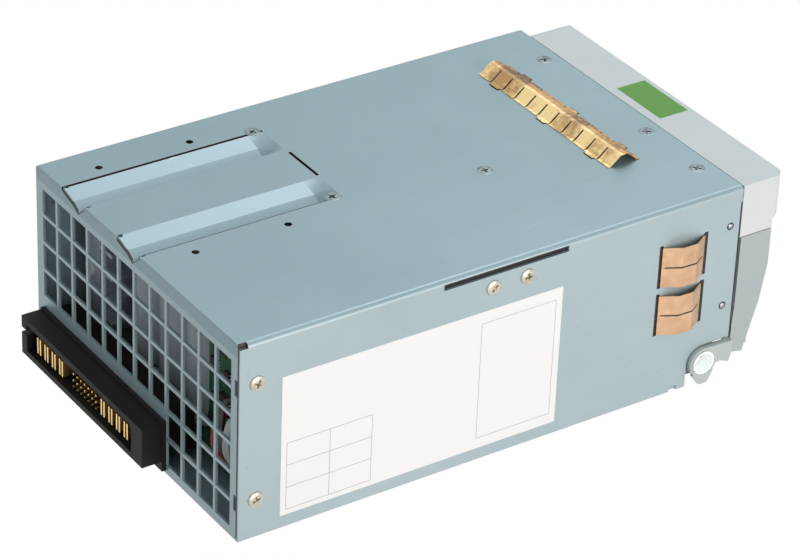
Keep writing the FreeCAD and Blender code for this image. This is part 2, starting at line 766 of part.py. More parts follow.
def cover_screws():
    """The flat-headed screws in the top."""
    screws = [flat_screw(f"cover_screw_{index}", "Z", TOP, spot) for index, spot in enumerate(TOP_SCREWS + PANEL_SCREWS)]
    return node("cover_screws", group("cover_screw_set", *screws))


def side_screws():
    """The screws that hold the sides to the grille's flanges, and two in the label side."""
    screws = []
    for outward, wall in ((-1, LEFT), (1, RIGHT)):
        for index, up in enumerate(SIDE_SCREW_UP):
            screws.append(side_screw(f"side_screw_{outward + 1}_{index}", outward, wall, (SIDE_SCREW_Y, up)))
    for index, spot in enumerate(EAR_SCREWS):
        screws.append(side_screw(f"ear_screw_{index}", -1, LEFT, spot, "3"))
    return node("side_screws", group("side_screw_set", *screws))


def side_rivets():
    """The pins that hold the front panel's side flanges to the cover."""
    rivets = []
    for outward, wall in ((-1, LEFT), (1, RIGHT)):
        for index, spot in enumerate(RIVETS):
            name = f"rivet_{outward + 1}_{index}"
            ends = sorted((f"{wall} + {outward} * rivet_head_height", wall), key=number)
            head = rod(name + "_head", "X", *ends, "rivet_head_radius", spot)
            ends = sorted((wall, f"{wall} - {outward} * (2 * sheet + seat_gap)"), key=number)
            rivets.append(fuse(name, head, rod(name + "_shank", "X", *ends, "rivet_radius", spot)))
    return node("side_rivets", group("rivet_set", *rivets))


def rating_label():
    """The blank label stuck to the left side."""
    y = ("case_length / 2 - label_rear_inset - label_length", "case_length / 2 - label_rear_inset")
    return node("rating_label", block("label_sheet_piece", (LEFT + " - label_sheet", LEFT), y,
                                      ("label_up", "label_up + label_height")))


# ---------------------------------------------------------------- output connector

PLUG_FACE = "(case_length / 2 + plug_reach)"
PLUG_BACK = "(case_length / 2 - plug_body_depth)"
PLUG_MIDDLE = "(plug_bottom + plug_height / 2)"
CONTACT_SPAN = (f"{PLUG_BACK} - 3", f"{PLUG_FACE} - contact_recess")


def blade_pair(name, middle):
    """One power contact: two flat blades side by side."""
    z = (f"{PLUG_MIDDLE} - blade_height / 2", f"{PLUG_MIDDLE} + blade_height / 2")
    half = "(blade_gap / 2 + blade_sheet)"
    left = block(name + "_a", (f"{middle} - {half}", f"{middle} - blade_gap / 2"), CONTACT_SPAN, z)
    right = block(name + "_b", (f"{middle} + blade_gap / 2", f"{middle} + {half}"), CONTACT_SPAN, z)
    return [left, right]


def power_blades():
    """Two banks of four paired power blades."""
    blades = []
    for bank, inset in enumerate(("blade_first_inset", "blade_second_inset")):
        for index in range(4):
            middle = f"(case_width / 2 - {inset} - {index} * blade_pitch)"
            blades += blade_pair(f"blade_{bank}{index}", middle)
    return node("power_blades", group("blade_set", *blades))


def signal_pins():
    """Seven columns of four signal pins between the two banks of blades."""
    pins = []
    for column in range(7):
        x = f"(case_width / 2 - pin_first_inset - {column} * pin_pitch)"
        for row in range(4):
            z = f"({PLUG_MIDDLE} + ({row} - 1.5) * pin_pitch)"
            pins.append(block(f"pin_{column}{row}", (f"{x} - pin_width / 2", f"{x} + pin_width / 2"),
                              (CONTACT_SPAN[0], CONTACT_SPAN[1] + " - 0.8"),
                              (f"{z} - pin_width / 2", f"{z} + pin_width / 2")))
    return node("signal_pins", group("pin_set", *pins))


def connector_housing(contacts):
    """The black housing that carries the contacts through the grille wall."""
    z = ("plug_bottom", "plug_bottom + plug_height")
    shroud = block("plug_shroud", (PLUG_NEAR, PLUG_FAR), (REAR, PLUG_FACE), z)
    neck = block("plug_neck", (PLUG_NEAR + " + 1.8", PLUG_FAR + " - 1.8"), (PLUG_BACK, REAR), z)
    flange = block("plug_flange", (PLUG_NEAR + " - 0.4", PLUG_FAR), (REAR, "case_length / 2 + plug_flange_reach"),
                   ("plug_flange_bottom", "plug_flange_bottom + plug_flange_height"))
    x = (PLUG_NEAR + " + socket_inset_near", PLUG_FAR + " - socket_inset_far")
    low = f"{PLUG_MIDDLE} - socket_height / 2"
    high = f"{PLUG_MIDDLE} + socket_height / 2"
    mouth = doc.addObject("PartDesign::Body", "socket_space")
    pad(mouth, "XZ", PLUG_FACE + " - socket_depth", PLUG_FACE + " + 1", (
        (x[0], low), (x[1], low), (x[1], high), (x[0] + " + 2", high), (x[0] + " + 0.5", high + " - 1"),
        (x[0], high + " - 2.5")))
    key = block("plug_key", (PLUG_FAR + " - socket_inset_far - 1", PLUG_FAR + " + 1"),
                (PLUG_FACE + " - 4", PLUG_FACE + " + 1"), (high + " - 4.3", high + " - 2.3"))
    whole = fuse("plug_whole", shroud, neck, flange)
    return node("connector_housing", cut("plug_cut", whole, mouth, key, *contacts))


# ---------------------------------------------------------------- front: fan, inlet and lights

FAN_BACK = "(front_recess + sheet + fan_depth - case_length / 2)"


def fan_frame():
    """The fan's square frame, its struts, motor base and bearing tube."""
    x, z = FAN_SPOT

    def across(middle, half):
        return (f"{middle} - {half}", f"{middle} + {half}")

    frame = block("fan_square", across(x, "fan_size / 2"), (PANEL_BACK, FAN_BACK), across(z, "fan_size / 2"))
    bores = [rod("fan_bore", "Y", PANEL_BACK + " - 1", FAN_BACK + " + 1", "fan_bore_radius", FAN_SPOT)]
    bores += [rod(f"fan_corner_{index}", "Y", PANEL_BACK + " - 1", FAN_BACK + " + 1", "fan_hole_radius", spot)
              for index, spot in enumerate(fan_corners())]
    rim = cut("fan_rim", frame, *bores)
    base = rod("fan_base", "Y", FAN_BACK + " - 3", FAN_BACK, "fan_hub_radius", FAN_SPOT)
    tube = rod("fan_tube", "Y", FAN_BACK + " - 15", FAN_BACK, "fan_shaft_radius + 2", FAN_SPOT)
    reach = "(fan_bore_radius + 1)"
    strut_y = (FAN_BACK + " - 2.5", FAN_BACK)
    struts = [
        block("fan_strut_across", across(x, reach), strut_y, across(z, "1.5")),
        block("fan_strut_up", across(x, "1.5"), strut_y, across(z, reach)),
    ]
    bearing = rod("fan_bearing", "Y", FAN_BACK + " - 16", FAN_BACK + " - 1",
                  "fan_shaft_radius + fan_running_gap", FAN_SPOT)
    return node("fan_frame", cut("fan_frame_cut", fuse("fan_frame_whole", rim, base, tube, *struts), bearing))


def blade_section(body, radius, lead, trail, spread):
    """A thin slanted section of a fan blade at one radius."""
    sketch = sketch_on(body, "YZ", radius)
    polygon(sketch, ((lead, f"-{spread} - 0.7"), (trail, f"{spread} - 0.7"), (trail, f"{spread} + 0.7"),
                     (lead, f"0.7 - {spread}")))
    return sketch


def fan_rotor():
    """The hub cup with its shaft and twisted blades, on the fan's own axis."""
    body = doc.addObject("PartDesign::Body", "rotor_body")
    hub = body.newObject("PartDesign::Pad", "rotor_hub")
    face = sketch_on(body, "XZ", "1.5")
    circle(face, "0", "0", "fan_hub_radius")
    hub.Profile = face
    hub.Reversed = True
    bind(hub, Length="fan_depth - 6")
    pocket(body, "XZ", "3.5", "fan_depth", circles=[("0", "0", "fan_hub_radius - 1.6")])
    shaft = body.newObject("PartDesign::Pad", "rotor_shaft")
    stub = sketch_on(body, "XZ", "2")
    circle(stub, "0", "0", "fan_shaft_radius")
    shaft.Profile = stub
    shaft.Reversed = True
    bind(shaft, Length="fan_depth - 4.5")
    blade = body.newObject("PartDesign::AdditiveLoft", "rotor_blade")
    blade.Profile = blade_section(body, "fan_hub_radius - 1", "3", "fan_depth - 6", "4.5")
    blade.Sections = [blade_section(body, "fan_bore_radius - 2.6", "4", "fan_depth - 9", "7.5")]
    blade.Ruled = True
    around = body.newObject("PartDesign::PolarPattern", "rotor_blades")
    around.Originals = [blade]
    around.Axis = (next(item for item in body.Origin.OriginFeatures if item.Role == "Y_Axis"), [""])
    around.Angle = 360
    bind(around, Occurrences="fan_blades")
    body.Tip = around
    place(body, FAN_SPOT[0], PANEL_BACK, FAN_SPOT[1])
    return node("fan_rotor", body)


def flat_ring(name, axis, start, end, outer, inner, across):
    """A ring of rectangular section around an axis."""
    return cut(name, rod(name + "_disc", axis, start, end, outer, across),
               rod(name + "_hole", axis, f"{start} - 1", f"{end} + 1", inner, across))


def fan_guard():
    """The finger guard over the fan's opening: three rings, four eyes and two crossed bars."""
    y = (PANEL_FACE + " - guard_sheet", PANEL_FACE)
    rings = [flat_ring(f"guard_ring_{index}", "Y", *y, f"guard_pitch * {index + 1} + guard_bar / 2",
                       f"guard_pitch * {index + 1} - guard_bar / 2", FAN_SPOT) for index in range(3)]
    eyes = [rod(f"guard_eye_{index}", "Y", *y, "guard_eye_radius", spot) for index, spot in enumerate(fan_corners())]
    spokes = []
    reach = "(fan_hole_pitch / 2 - guard_eye_radius / 2)"
    across = "guard_bar / 2 * 0.70711"
    for index, sign in enumerate((1, -1)):
        spoke = doc.addObject("Part::Box", f"guard_spoke_{index}")
        spoke.Placement = Placement(Vector(), Rotation(Vector(0, 1, 0), -45 * sign))
        bind(spoke, Length=f"{reach} * 2.82843", Width="guard_sheet", Height="guard_bar")
        place(spoke, f"{FAN_SPOT[0]} - {reach} + {sign} * {across}", y[0],
              f"{FAN_SPOT[1]} - {sign} * {reach} - {across}")
        spokes.append(spoke)
    screws = [rod(f"guard_hole_{index}", "Y", y[0] + " - 1", y[1] + " + 1", "fan_hole_radius + seat_gap", spot)
              for index, spot in enumerate(fan_corners())]
    return node("fan_guard", cut("guard_cut", fuse("guard_whole", *rings, *eyes, *spokes), *screws))


def fan_screws():
    """Four screws through the guard and panel into the fan's corners."""
    screws = []
    for index, spot in enumerate(fan_corners()):
        seat = f"{PANEL_FACE} - guard_sheet"
        head = rod(f"fan_screw_head_{index}", "Y", seat + " - 1.8", seat, "3.7", spot)
        shank = rod(f"fan_screw_shank_{index}", "Y", seat, PANEL_BACK + " + 9", "fan_hole_radius - 0.1", spot)
        screws.append(fuse(f"fan_screw_{index}", head, shank))
    return node("fan_screws", group("fan_screw_set", *screws))


def inlet_blades():
    """The three flat pins of the mains inlet."""
    y = (f"{PANEL_FACE} + 2", f"{PANEL_FACE} + inlet_depth + 4")
    spots = (("-7", "-2"), ("7", "-2"), ("0", "2"))
    pins = []
    for index, (x, z) in enumerate(spots):
        middle = f"{INLET_X} + {x}"
        level = f"inlet_centre_up + {z}"
        pins.append(block(f"inlet_pin_{index}", (f"{middle} - 1", f"{middle} + 1"), y, (f"{level} - 2", f"{level} + 2")))
    return node("inlet_pins", group("inlet_pin_set", *pins))


def ac_inlet(pins):
    """The mains inlet's moulded socket, clipped in the front panel."""

    def frame(extra_x, extra_z):
        return rectangle(
            (f"{INLET_X} - inlet_body_width / 2 - ({extra_x})",
             f"{INLET_X} + inlet_body_width / 2 + ({extra_x})"),
            (f"inlet_centre_up - inlet_body_height / 2 - ({extra_z})",
             f"inlet_centre_up + inlet_body_height / 2 + ({extra_z})"))

    body = doc.addObject("PartDesign::Body", "inlet_body")
    pad(body, "XZ", PANEL_FACE + " - 1.8", PANEL_FACE, frame("inlet_rim", "inlet_rim"))
    pad(body, "XZ", PANEL_FACE, PANEL_FACE + " + inlet_depth", frame("0", "0"))
    left, right = (INLET_X + " - 12", INLET_X + " + 12")
    low, high = ("inlet_centre_up - 7.8", "inlet_centre_up + 7.8")
    pocket(body, "XZ", PANEL_FACE + " - 3", PANEL_FACE + " + inlet_depth - 4", (
        (left, low), (right, low), (right, high + " - 4"), (right + " - 4", high), (left + " + 4", high),
        (left, high + " - 4")))
    return node("ac_inlet", cut("inlet_cut", body, pins))


def status_lights():
    """Three light guides beside the inlet."""
    lights = [rod(f"light_{index}", "Y", PANEL_FACE + " - 0.8", PANEL_BACK + " + 4", "light_radius", spot)
              for index, spot in enumerate(light_spots())]
    return node("status_lights", group("light_set", *lights))


# ---------------------------------------------------------------- ejector handle

ARM_BACK = "(-case_length / 2 - arm_gap)"
ARM_FRONT = "(-case_length / 2 - arm_gap - arm_depth)"
GRIP_BACK = "(-case_length / 2 - clear_gap)"
GRIP_FRONT = "(-case_length / 2 - clear_gap - grip_depth)"
GRIP_FOOT = "(case_height - grip_drop)"
SIDES = (
    ("left", "(-case_width / 2)", 1),
    ("right", "(case_width / 2 - grip_far_inset)", -1),
)


def inward(plane, direction, near, far):
    """A pair of X formulas, lower first, at two depths inboard of a side's plane."""
    ends = [f"({plane} + {direction} * ({near}))", f"({plane} + {direction} * ({far}))"]
    return ends if direction > 0 else ends[::-1]


def handle_arm(side, plane, direction):
    """A pressed steel arm that runs from the grip down to the cam."""
    body = doc.addObject("PartDesign::Body", "arm_body_" + side)
    x = inward(plane, direction, "0", "arm_sheet")
    foot = "(pivot_up - 0.6)"
    pad(body, "YZ", *x, (
        (ARM_BACK, f"{GRIP_FOOT} - clear_gap"), (ARM_BACK, "pivot_up + 18"), (ARM_BACK + " + 0.5", "pivot_up + 11"),
        (ARM_BACK + " + 0.6", foot), (ARM_FRONT + " + 7.9", f"{foot} - 1.3"), (ARM_FRONT + " + 2.4", "pivot_up + 17"),
        (ARM_FRONT, "pivot_up + 31"), (ARM_FRONT, f"{GRIP_FOOT} - clear_gap")))
    inner = "grip_wall + seat_gap"
    y = (ARM_FRONT + " + 3", ARM_BACK + " - 2")
    joggle = block("arm_joggle_" + side, inward(plane, direction, "0", f"{inner} + arm_sheet"), y,
                   (f"{GRIP_FOOT} - clear_gap - arm_sheet", f"{GRIP_FOOT} - clear_gap"))
    tongue = block("arm_tongue_" + side, inward(plane, direction, inner, f"{inner} + arm_sheet"), y,
                   (f"{GRIP_FOOT} - clear_gap - arm_sheet", "case_height - grip_wall - clear_gap - 4"))
    holes = [rod(f"arm_hole_{side}_{index}", "X", *inward(plane, direction, "0", "grip_wall + 4"),
                 "screw_radius + seat_gap", spot) for index, spot in enumerate(grip_screw_spots())]
    return node("handle_arm_" + side, cut("arm_cut_" + side, fuse("arm_whole_" + side, body, joggle, tongue), *holes))


def grip_screw_spots():
    """Where two screws join an arm to the grip."""
    y = f"({ARM_BACK} - arm_depth / 2)"
    return ((y, "case_height - 9.5"), (y, "case_height - 16"))


def grip_screws():
    """The screws that join the arms to the grip, put in from between the arms."""
    screws = []
    for side, plane, direction in SIDES:
        for index, spot in enumerate(grip_screw_spots()):
            seat = "grip_wall + seat_gap + arm_sheet"
            head = rod(f"grip_screw_head_{side}_{index}", "X",
                       *inward(plane, direction, seat, f"{seat} + screw_head_height"), "screw_head_radius", spot)
            shank = rod(f"grip_screw_shank_{side}_{index}", "X",
                        *inward(plane, direction, "0.8", seat), "screw_radius", spot)
            screws.append(fuse(f"grip_screw_{side}_{index}", head, shank))
    return node("grip_screws", group("grip_screw_set", *screws))


def ejector_cam(side, plane, direction):
    """The moulded cam at an arm's foot: an eye on the pivot, two teeth and a tongue behind the arm."""
    x = inward(plane, direction, "cam_inset - cam_sheet", "cam_inset")
    eye = rod("cam_eye_" + side, "X", *x, "cam_eye_radius", (PIVOT_Y, "pivot_up"))
    neck = doc.addObject("PartDesign::Body", "cam_neck_" + side)
    back = "(-case_length / 2 - 0.25)"
    pad(neck, "YZ", *x, (
        (PIVOT_Y, "pivot_up + cam_eye_radius - 0.1"), (back, "pivot_up + 5.2"), (back, "pivot_up + 0.6"),
        (back + " + 1.1", "pivot_up - 3"), (back + " + 4.6", "pivot_up - 1.6"), (PIVOT_Y, "pivot_up - 2")))
    tooth = doc.addObject("PartDesign::Body", "cam_tooth_" + side)
    pad(tooth, "YZ", *inward(plane, direction, "cam_inset - cam_sheet", "-clear_gap"), (
        (PIVOT_Y, "pivot_up"), (f"{PIVOT_Y} - 4.6", "pivot_up - 4"), (f"{PIVOT_Y} - 2.2", "0.1"),
        (f"{PIVOT_Y} + 1.2", "0.1"), (f"{PIVOT_Y} + 4.4", "pivot_up - 4.4")))
    step = block("cam_step_" + side, inward(plane, direction, "cam_inset - cam_sheet", "arm_sheet + 1.9"),
                 (back, back + " + 1.1"), ("pivot_up", "pivot_up + 5.2"))
    tongue = block("cam_tongue_" + side, inward(plane, direction, "arm_sheet + seat_gap", "arm_sheet + 1.9"),
                   (f"{ARM_BACK} - arm_depth * 0.6", back + " + 1.1"), ("pivot_up", "pivot_up + 5.2"))
    bore = rod("cam_bore_" + side, "X", *inward(plane, direction, "-cam_sheet", "2"), "pivot_bore_radius",
               (PIVOT_Y, "pivot_up"))
    return node("ejector_cam_" + side, cut("cam_cut_" + side, fuse("cam_whole_" + side, eye, neck, tooth, step, tongue), bore))


EAR_DEPTH = "2.1"
EAR_SHEET = "1.2"


def pivot_bracket(side, plane, direction):
    """A small steel bracket on the tray whose ear carries the pivot bush."""
    x = inward(plane, direction, EAR_DEPTH, f"{EAR_DEPTH} + {EAR_SHEET}")
    ear = rod("ear_round_" + side, "X", *x, "cam_eye_radius", (PIVOT_Y, "pivot_up"))
    web = block("ear_web_" + side, x, (PIVOT_Y, "corner_notch_depth + 4 - case_length / 2"),
                ("pivot_up - cam_eye_radius", "pivot_up + cam_eye_radius"))
    heel_y = ("corner_notch_depth + 0.5 - case_length / 2", "corner_notch_depth + 4 - case_length / 2")
    heel = block("ear_heel_" + side, x, heel_y, ("sheet", "pivot_up"))
    foot = block("ear_foot_" + side, inward(plane, direction, EAR_DEPTH, "12"), heel_y, ("sheet", f"sheet + {EAR_SHEET}"))
    hole = rod("ear_hole_" + side, "X", x[0] + " - 1", x[1] + " + 1", "pivot_bore_radius", (PIVOT_Y, "pivot_up"))
    return node("pivot_bracket_" + side, cut("ear_cut_" + side, fuse("ear_whole_" + side, ear, web, heel, foot), hole))


def pivot_bush(side, plane, direction):
    """The hollow bush that a cam turns on, headed at both ends."""
    spot = (PIVOT_Y, "pivot_up")
    outer = "(cam_inset - cam_sheet)"
    inner = f"({EAR_DEPTH} + {EAR_SHEET} + seat_gap)"
    barrel = rod("bush_barrel_" + side, "X", *inward(plane, direction, f"{outer} - seat_gap", inner),
                 "pivot_bore_radius - pivot_running_gap", spot)
    outside = rod("bush_outside_" + side, "X", *inward(plane, direction, f"{outer} - bush_lip - seat_gap", f"{outer} - seat_gap"),
                  "pivot_bore_radius + bush_lip", spot)
    inside = rod("bush_inside_" + side, "X", *inward(plane, direction, inner, f"{inner} + 0.5"),
                 "cam_eye_radius - 0.1", spot)
    bore = rod("bush_bore_" + side, "X", *inward(plane, direction, f"{outer} - 1", f"{inner} + 1"),
               "pivot_bore_radius - pivot_running_gap - pivot_wall", spot)
    return node("pivot_bush_" + side, cut("bush_cut_" + side, fuse("bush_whole_" + side, barrel, outside, inside), bore))


MARKER_Y = (f"{GRIP_FRONT} + 1.8", f"{GRIP_FRONT} + 1.8 + marker_depth")
MARKER_X = ("marker_inset - (case_width + marker_length) / 2", "marker_inset - (case_width - marker_length) / 2")


def handle_grip():
    """The moulded grip: a hollow bar open towards the case, with a finger lip in front."""
    left, right = SIDES[0][1], SIDES[1][1]
    body = doc.addObject("PartDesign::Body", "grip_body")
    step = f"(case_height - grip_lip_drop)"
    pad(body, "YZ", left, right, (
        (GRIP_BACK, TOP), (GRIP_BACK, GRIP_FOOT), (ARM_FRONT, GRIP_FOOT), (ARM_FRONT, f"{step} - 0.9"),
        (GRIP_FRONT + " + 0.6", step), (GRIP_FRONT, f"{step} + 2"), (GRIP_FRONT, TOP)))
    front = number(GRIP_FRONT)
    low, high = number(left), number(right)

    def outer_edge(middle, box):
        """The front's two upright corners and the far end's top edge."""
        upright = box.ZLength > 5 and abs(middle.y - front) < 0.01 and min(abs(middle.x - low), abs(middle.x - high)) < 0.01
        far_top = box.YLength > 5 and abs(middle.x - high) < 0.01 and middle.z > number("case_height - 0.01")
        return upright or far_top

    body.Tip = round_edges(body, "grip_round", outer_edge)
    inner = (f"{left} + grip_wall", f"{right} - grip_wall")
    pocket(body, "YZ", *inner, rectangle(
        (GRIP_FRONT + " + grip_wall", GRIP_BACK + " + 1"), (GRIP_FOOT + " - 1", "case_height - grip_wall")))
    pocket(body, "XY", "case_height - marker_sheet", "case_height + 1", rectangle(
        (MARKER_X[0] + " - seat_gap", MARKER_X[1] + " + seat_gap"), (MARKER_Y[0] + " - seat_gap", MARKER_Y[1] + " + seat_gap")))
    holes = []
    for side, plane, direction in SIDES:
        for index, spot in enumerate(grip_screw_spots()):
            holes.append(rod(f"grip_pilot_{side}_{index}", "X", *inward(plane, direction, "0.7", "grip_wall + 1"),
                             "screw_radius + seat_gap", spot))
    return node("handle_grip", cut("grip_cut", body, *holes))


def touch_marker():
    """The green insert that marks where to take hold."""
    return node("touch_marker", block("marker_insert", MARKER_X, MARKER_Y,
                                      ("case_height - marker_sheet", "case_height + seat_gap")))


# ---------------------------------------------------------------- spring contacts


def grounding_strip():
    """The roof-shaped row of spring fingers on the top, hooked through slots."""
    body = doc.addObject("PartDesign::Body", "strip_body")
    half = "strip_width / 2"
    up = "case_height"
    peak = f"{up} + strip_rise"
    pad(body, "YZ", STRIP_NEAR, STRIP_FAR, (
        (f"{STRIP_Y} - {half}", f"{up} + 0.02"), (f"{STRIP_Y} - {half}", f"{up} + 0.02 + strip_sheet"),
        (f"{STRIP_Y} - {half} + 1", f"{up} + 0.1 + strip_sheet"), (f"{STRIP_Y} - 1.5", peak),
        (f"{STRIP_Y} + 1.5", peak), (f"{STRIP_Y} + {half} - 1", f"{up} + 0.1 + strip_sheet"),
        (f"{STRIP_Y} + {half}", f"{up} + 0.02 + strip_sheet"), (f"{STRIP_Y} + {half}", f"{up} + 0.02"),
        (f"{STRIP_Y} + {half} - 1", f"{up} + 0.02"), (f"{STRIP_Y} + 1.4", f"{peak} - strip_sheet * 1.2"),
        (f"{STRIP_Y} - 1.4", f"{peak} - strip_sheet * 1.2"), (f"{STRIP_Y} - {half} + 1", f"{up} + 0.02")))
    slit = (STRIP_NEAR + " + strip_pitch - 0.35", STRIP_NEAR + " + strip_pitch + 0.35")
    for y in ((f"{STRIP_Y} - {half} - 1", f"{STRIP_Y} - 1.8"), (f"{STRIP_Y} + 1.8", f"{STRIP_Y} + {half} + 1")):
        gap = pocket(body, "XY", f"{up} - 0.5", f"{peak} + 1", rectangle(slit, y))
        grid(body, gap, ("strip_pitch", "strip_fingers - 1"), ("100", "1"))
    hooks = []
    for index in (1, 5, 9):
        finger = f"({STRIP_FAR} - strip_pitch * ({index} + 0.5))"
        x = (f"{finger} - 2.2", f"{finger} + 2.2")
        for sign in (-1, 1):
            ends = sorted((f"{STRIP_Y} + {sign} * ({half} - 0.3)", f"{STRIP_Y} + {sign} * ({half} + 0.75)"), key=number)
            hooks.append(block(f"strip_hook_{index}_{sign + 1}", x, ends, (f"{up} + 0.02", f"{up} + 0.02 + strip_sheet")))
            ends = sorted((f"{STRIP_Y} + {sign} * ({half} + 0.5)", f"{STRIP_Y} + {sign} * ({half} + 0.75)"), key=number)
            hooks.append(block(f"strip_leg_{index}_{sign + 1}", x, ends, (f"{up} - sheet - 1", f"{up} + 0.02 + strip_sheet")))
    return node("grounding_strip", fuse("strip_whole", body, *hooks))


def side_clip(name, bottom):
    """A two-fingered side contact whose legs hook through two slots."""
    body = doc.addObject("PartDesign::Body", name + "_body")
    wall = "(-case_width / 2)"
    inside = f"{wall} + sheet + 0.7"
    skin = "clip_sheet"
    crest = f"{wall} - clip_rise"
    front, rear = CLIP_FRONT, CLIP_REAR
    pad(body, "XY", bottom, f"{bottom} + clip_width", (
        (inside, f"{front} - {skin} / 2"), (f"{wall} - 0.35", f"{front} - {skin} / 2"), (crest, f"{front} + 5.6"),
        (f"{crest} + 0.2", f"{rear} - 6"), (f"{wall} - 0.35", f"{rear} + {skin} / 2"), (inside, f"{rear} + {skin} / 2"),
        (inside, f"{rear} - {skin} / 2"), (f"{wall} - 0.1", f"{rear} - {skin} / 2"),
        (f"{crest} + 0.2 + {skin}", f"{rear} - 6.1"), (f"{crest} + {skin}", f"{front} + 5.7"),
        (f"{wall} - 0.1", f"{front} + {skin} / 2"), (inside, f"{front} + {skin} / 2")))
    pocket(body, "XY", f"{bottom} + clip_width / 2 - 0.3", f"{bottom} + clip_width / 2 + 0.3",
           rectangle((f"{crest} - 1", f"{wall} - 0.6"), (front, rear)))
    return node(name, body)


# ---------------------------------------------------------------- inside the case

BOARD_X = ("(sheet + board_side_gap - case_width / 2)", "(case_width / 2 - sheet - board_side_gap)")
BOARD_Y = ("(board_front_inset - case_length / 2)", "(case_length / 2 - board_rear_inset)")
BOARD_TOP = "(board_up + board_sheet)"


def board_spots():
    """The six standoff places under the main board."""
    x = (f"{BOARD_X[0]} + board_hole_inset", f"{BOARD_X[1]} - board_hole_inset")
    y = (f"{BOARD_Y[0]} + board_hole_inset", f"({BOARD_Y[0]} + {BOARD_Y[1]}) / 2", f"{BOARD_Y[1]} - board_hole_inset")
    return [(u, v) for u in x for v in y]


def main_board():
    """The power board, on standoffs above the tray."""
    slab = block("board_slab", BOARD_X, BOARD_Y, ("board_up", BOARD_TOP))
    holes = [rod(f"board_hole_{index}", "Z", "board_up - 1", BOARD_TOP + " + 1", "screw_radius + seat_gap", spot)
             for index, spot in enumerate(board_spots())]
    return node("main_board", cut("board_cut", slab, *holes))


def hexagon(name, start, end, radius, spot):
    """A six-sided post along Z."""
    solid = aim(doc.addObject("Part::Prism", name), "Z", start, spot)
    solid.Polygon = 6
    return bind(solid, Circumradius=radius, Height=f"({end}) - ({start})")


def board_standoffs():
    """The threaded standoffs pressed into the tray's floor."""
    posts = []
    for index, spot in enumerate(board_spots()):
        post = hexagon(f"standoff_post_{index}", "sheet", "board_up", "standoff_radius", spot)
        bore = rod(f"standoff_bore_{index}", "Z", "sheet + 0.5", "board_up + 1", "screw_radius + seat_gap", spot)
        posts.append(cut(f"standoff_{index}", post, bore))
    return node("board_standoffs", group("standoff_set", *posts))


def board_screws():
    """The hex-headed screws that hold the main board on its standoffs."""
    screws = []
    for index, spot in enumerate(board_spots()):
        head = hexagon(f"board_screw_head_{index}", BOARD_TOP, BOARD_TOP + " + 1.6", "standoff_radius", spot)
        shank = rod(f"board_screw_shank_{index}", "Z", "sheet + 1", BOARD_TOP, "screw_radius", spot)
        screws.append(fuse(f"board_screw_{index}", head, shank))
    return node("board_screws", group("board_screw_set", *screws))


def from_left(inset):
    """An X coordinate given from the label side."""
    return f"({inset} - case_width / 2)"


def from_right(inset):
    """An X coordinate given from the far side."""
    return f"(case_width / 2 - ({inset}))"


def from_front(inset):
    """A Y coordinate given from the handle's end."""
    return f"({inset} - case_length / 2)"


def from_rear(inset):
    """A Y coordinate given from the connector's end."""
    return f"(case_length / 2 - ({inset}))"


def run_of(start, length):
    """A pair of formulas from a start and a length."""
    return (start, f"{start} + {length}")


def can_row(pitch, rear_inset):
    """Three places in a row across the board, from the far side."""
    return [(from_right(f"can_far_inset + {index} * {pitch}"), from_rear(rear_inset)) for index in range(3)]


def cans(name, radius, top, spots):
    """Round capacitors standing on the main board."""
    return node(name, group(name + "_set", *[rod(f"{name}_{index}", "Z", BOARD_TOP, top, radius, spot)
                                             for index, spot in enumerate(spots)]))


def fins(name, plate_x, y, height, count):
    """Level fins along a heat sink's plate, on its -X side."""
    low, high = height
    pitch = f"(({high}) - ({low}) - 4) / ({count} - 1)"
    return [block(f"{name}_fin_{index}", (f"{plate_x} - fin_run", plate_x), y,
                  run_of(f"{low} + 1 + {index} * {pitch}", "fin_sheet")) for index in range(count)]


OUTPUT_SINK_TOP = "(case_height - output_sink_top_gap)"
FACE_Y = (from_rear("output_sink_rear_inset + face_sheet"), from_rear("output_sink_rear_inset"))
FACE_SPOTS = tuple((from_right("face_screw_inset"), f"case_height - {drop}") for drop in ("14", "40"))


def output_heat_sink():
    """The output stage's heat sink: a plate with fins, turned outward behind the grille."""
    x = (from_right("output_sink_far_inset + sink_sheet"), from_right("output_sink_far_inset"))
    y = (from_rear("output_sink_rear_inset + output_sink_length"), FACE_Y[1])
    z = (BOARD_TOP, OUTPUT_SINK_TOP)
    plate = block("output_sink_plate", x, y, z)
    face = block("output_sink_face_plate", run_of(x[0], "output_sink_face"), FACE_Y,
                 (f"{BOARD_TOP} + output_sink_rise", z[1]))
    holes = [rod(f"output_sink_hole_{index}", "Y", FACE_Y[0] + " - 1", FACE_Y[1] + " + 1", "screw_radius + seat_gap", spot)
             for index, spot in enumerate(FACE_SPOTS)]
    whole = fuse("output_sink_whole", plate, face, *fins("output_sink", x[0], y, z, 7))
    return node("output_heat_sink", cut("output_sink_cut", whole, *holes))


def heat_sink_screws():
    """The white nylon screws in the heat sink's rear face."""
    screws = []
    for index, spot in enumerate(FACE_SPOTS):
        head = rod(f"sink_screw_head_{index}", "Y", FACE_Y[1], FACE_Y[1] + " + screw_head_height",
                   "screw_head_radius", spot)
        shank = rod(f"sink_screw_shank_{index}", "Y", FACE_Y[0] + " - 2", FACE_Y[1], "screw_radius", spot)
        screws.append(fuse(f"sink_screw_{index}", head, shank))
    return node("heat_sink_screws", group("sink_screw_set", *screws))


PRIMARY_SINK_X = (from_right("primary_sink_far_inset + sink_sheet"), from_right("primary_sink_far_inset"))


def primary_heat_sink():
    """The mains stage's heat sink, along the middle of the board."""
    y = run_of(from_front("primary_sink_front_inset"), "primary_sink_length")
    z = run_of(BOARD_TOP, "primary_sink_tall")
    plate = block("primary_sink_plate", PRIMARY_SINK_X, y, z)
    return node("primary_heat_sink", fuse("primary_sink_whole", plate, *fins("primary_sink", PRIMARY_SINK_X[0], y, z, 6)))


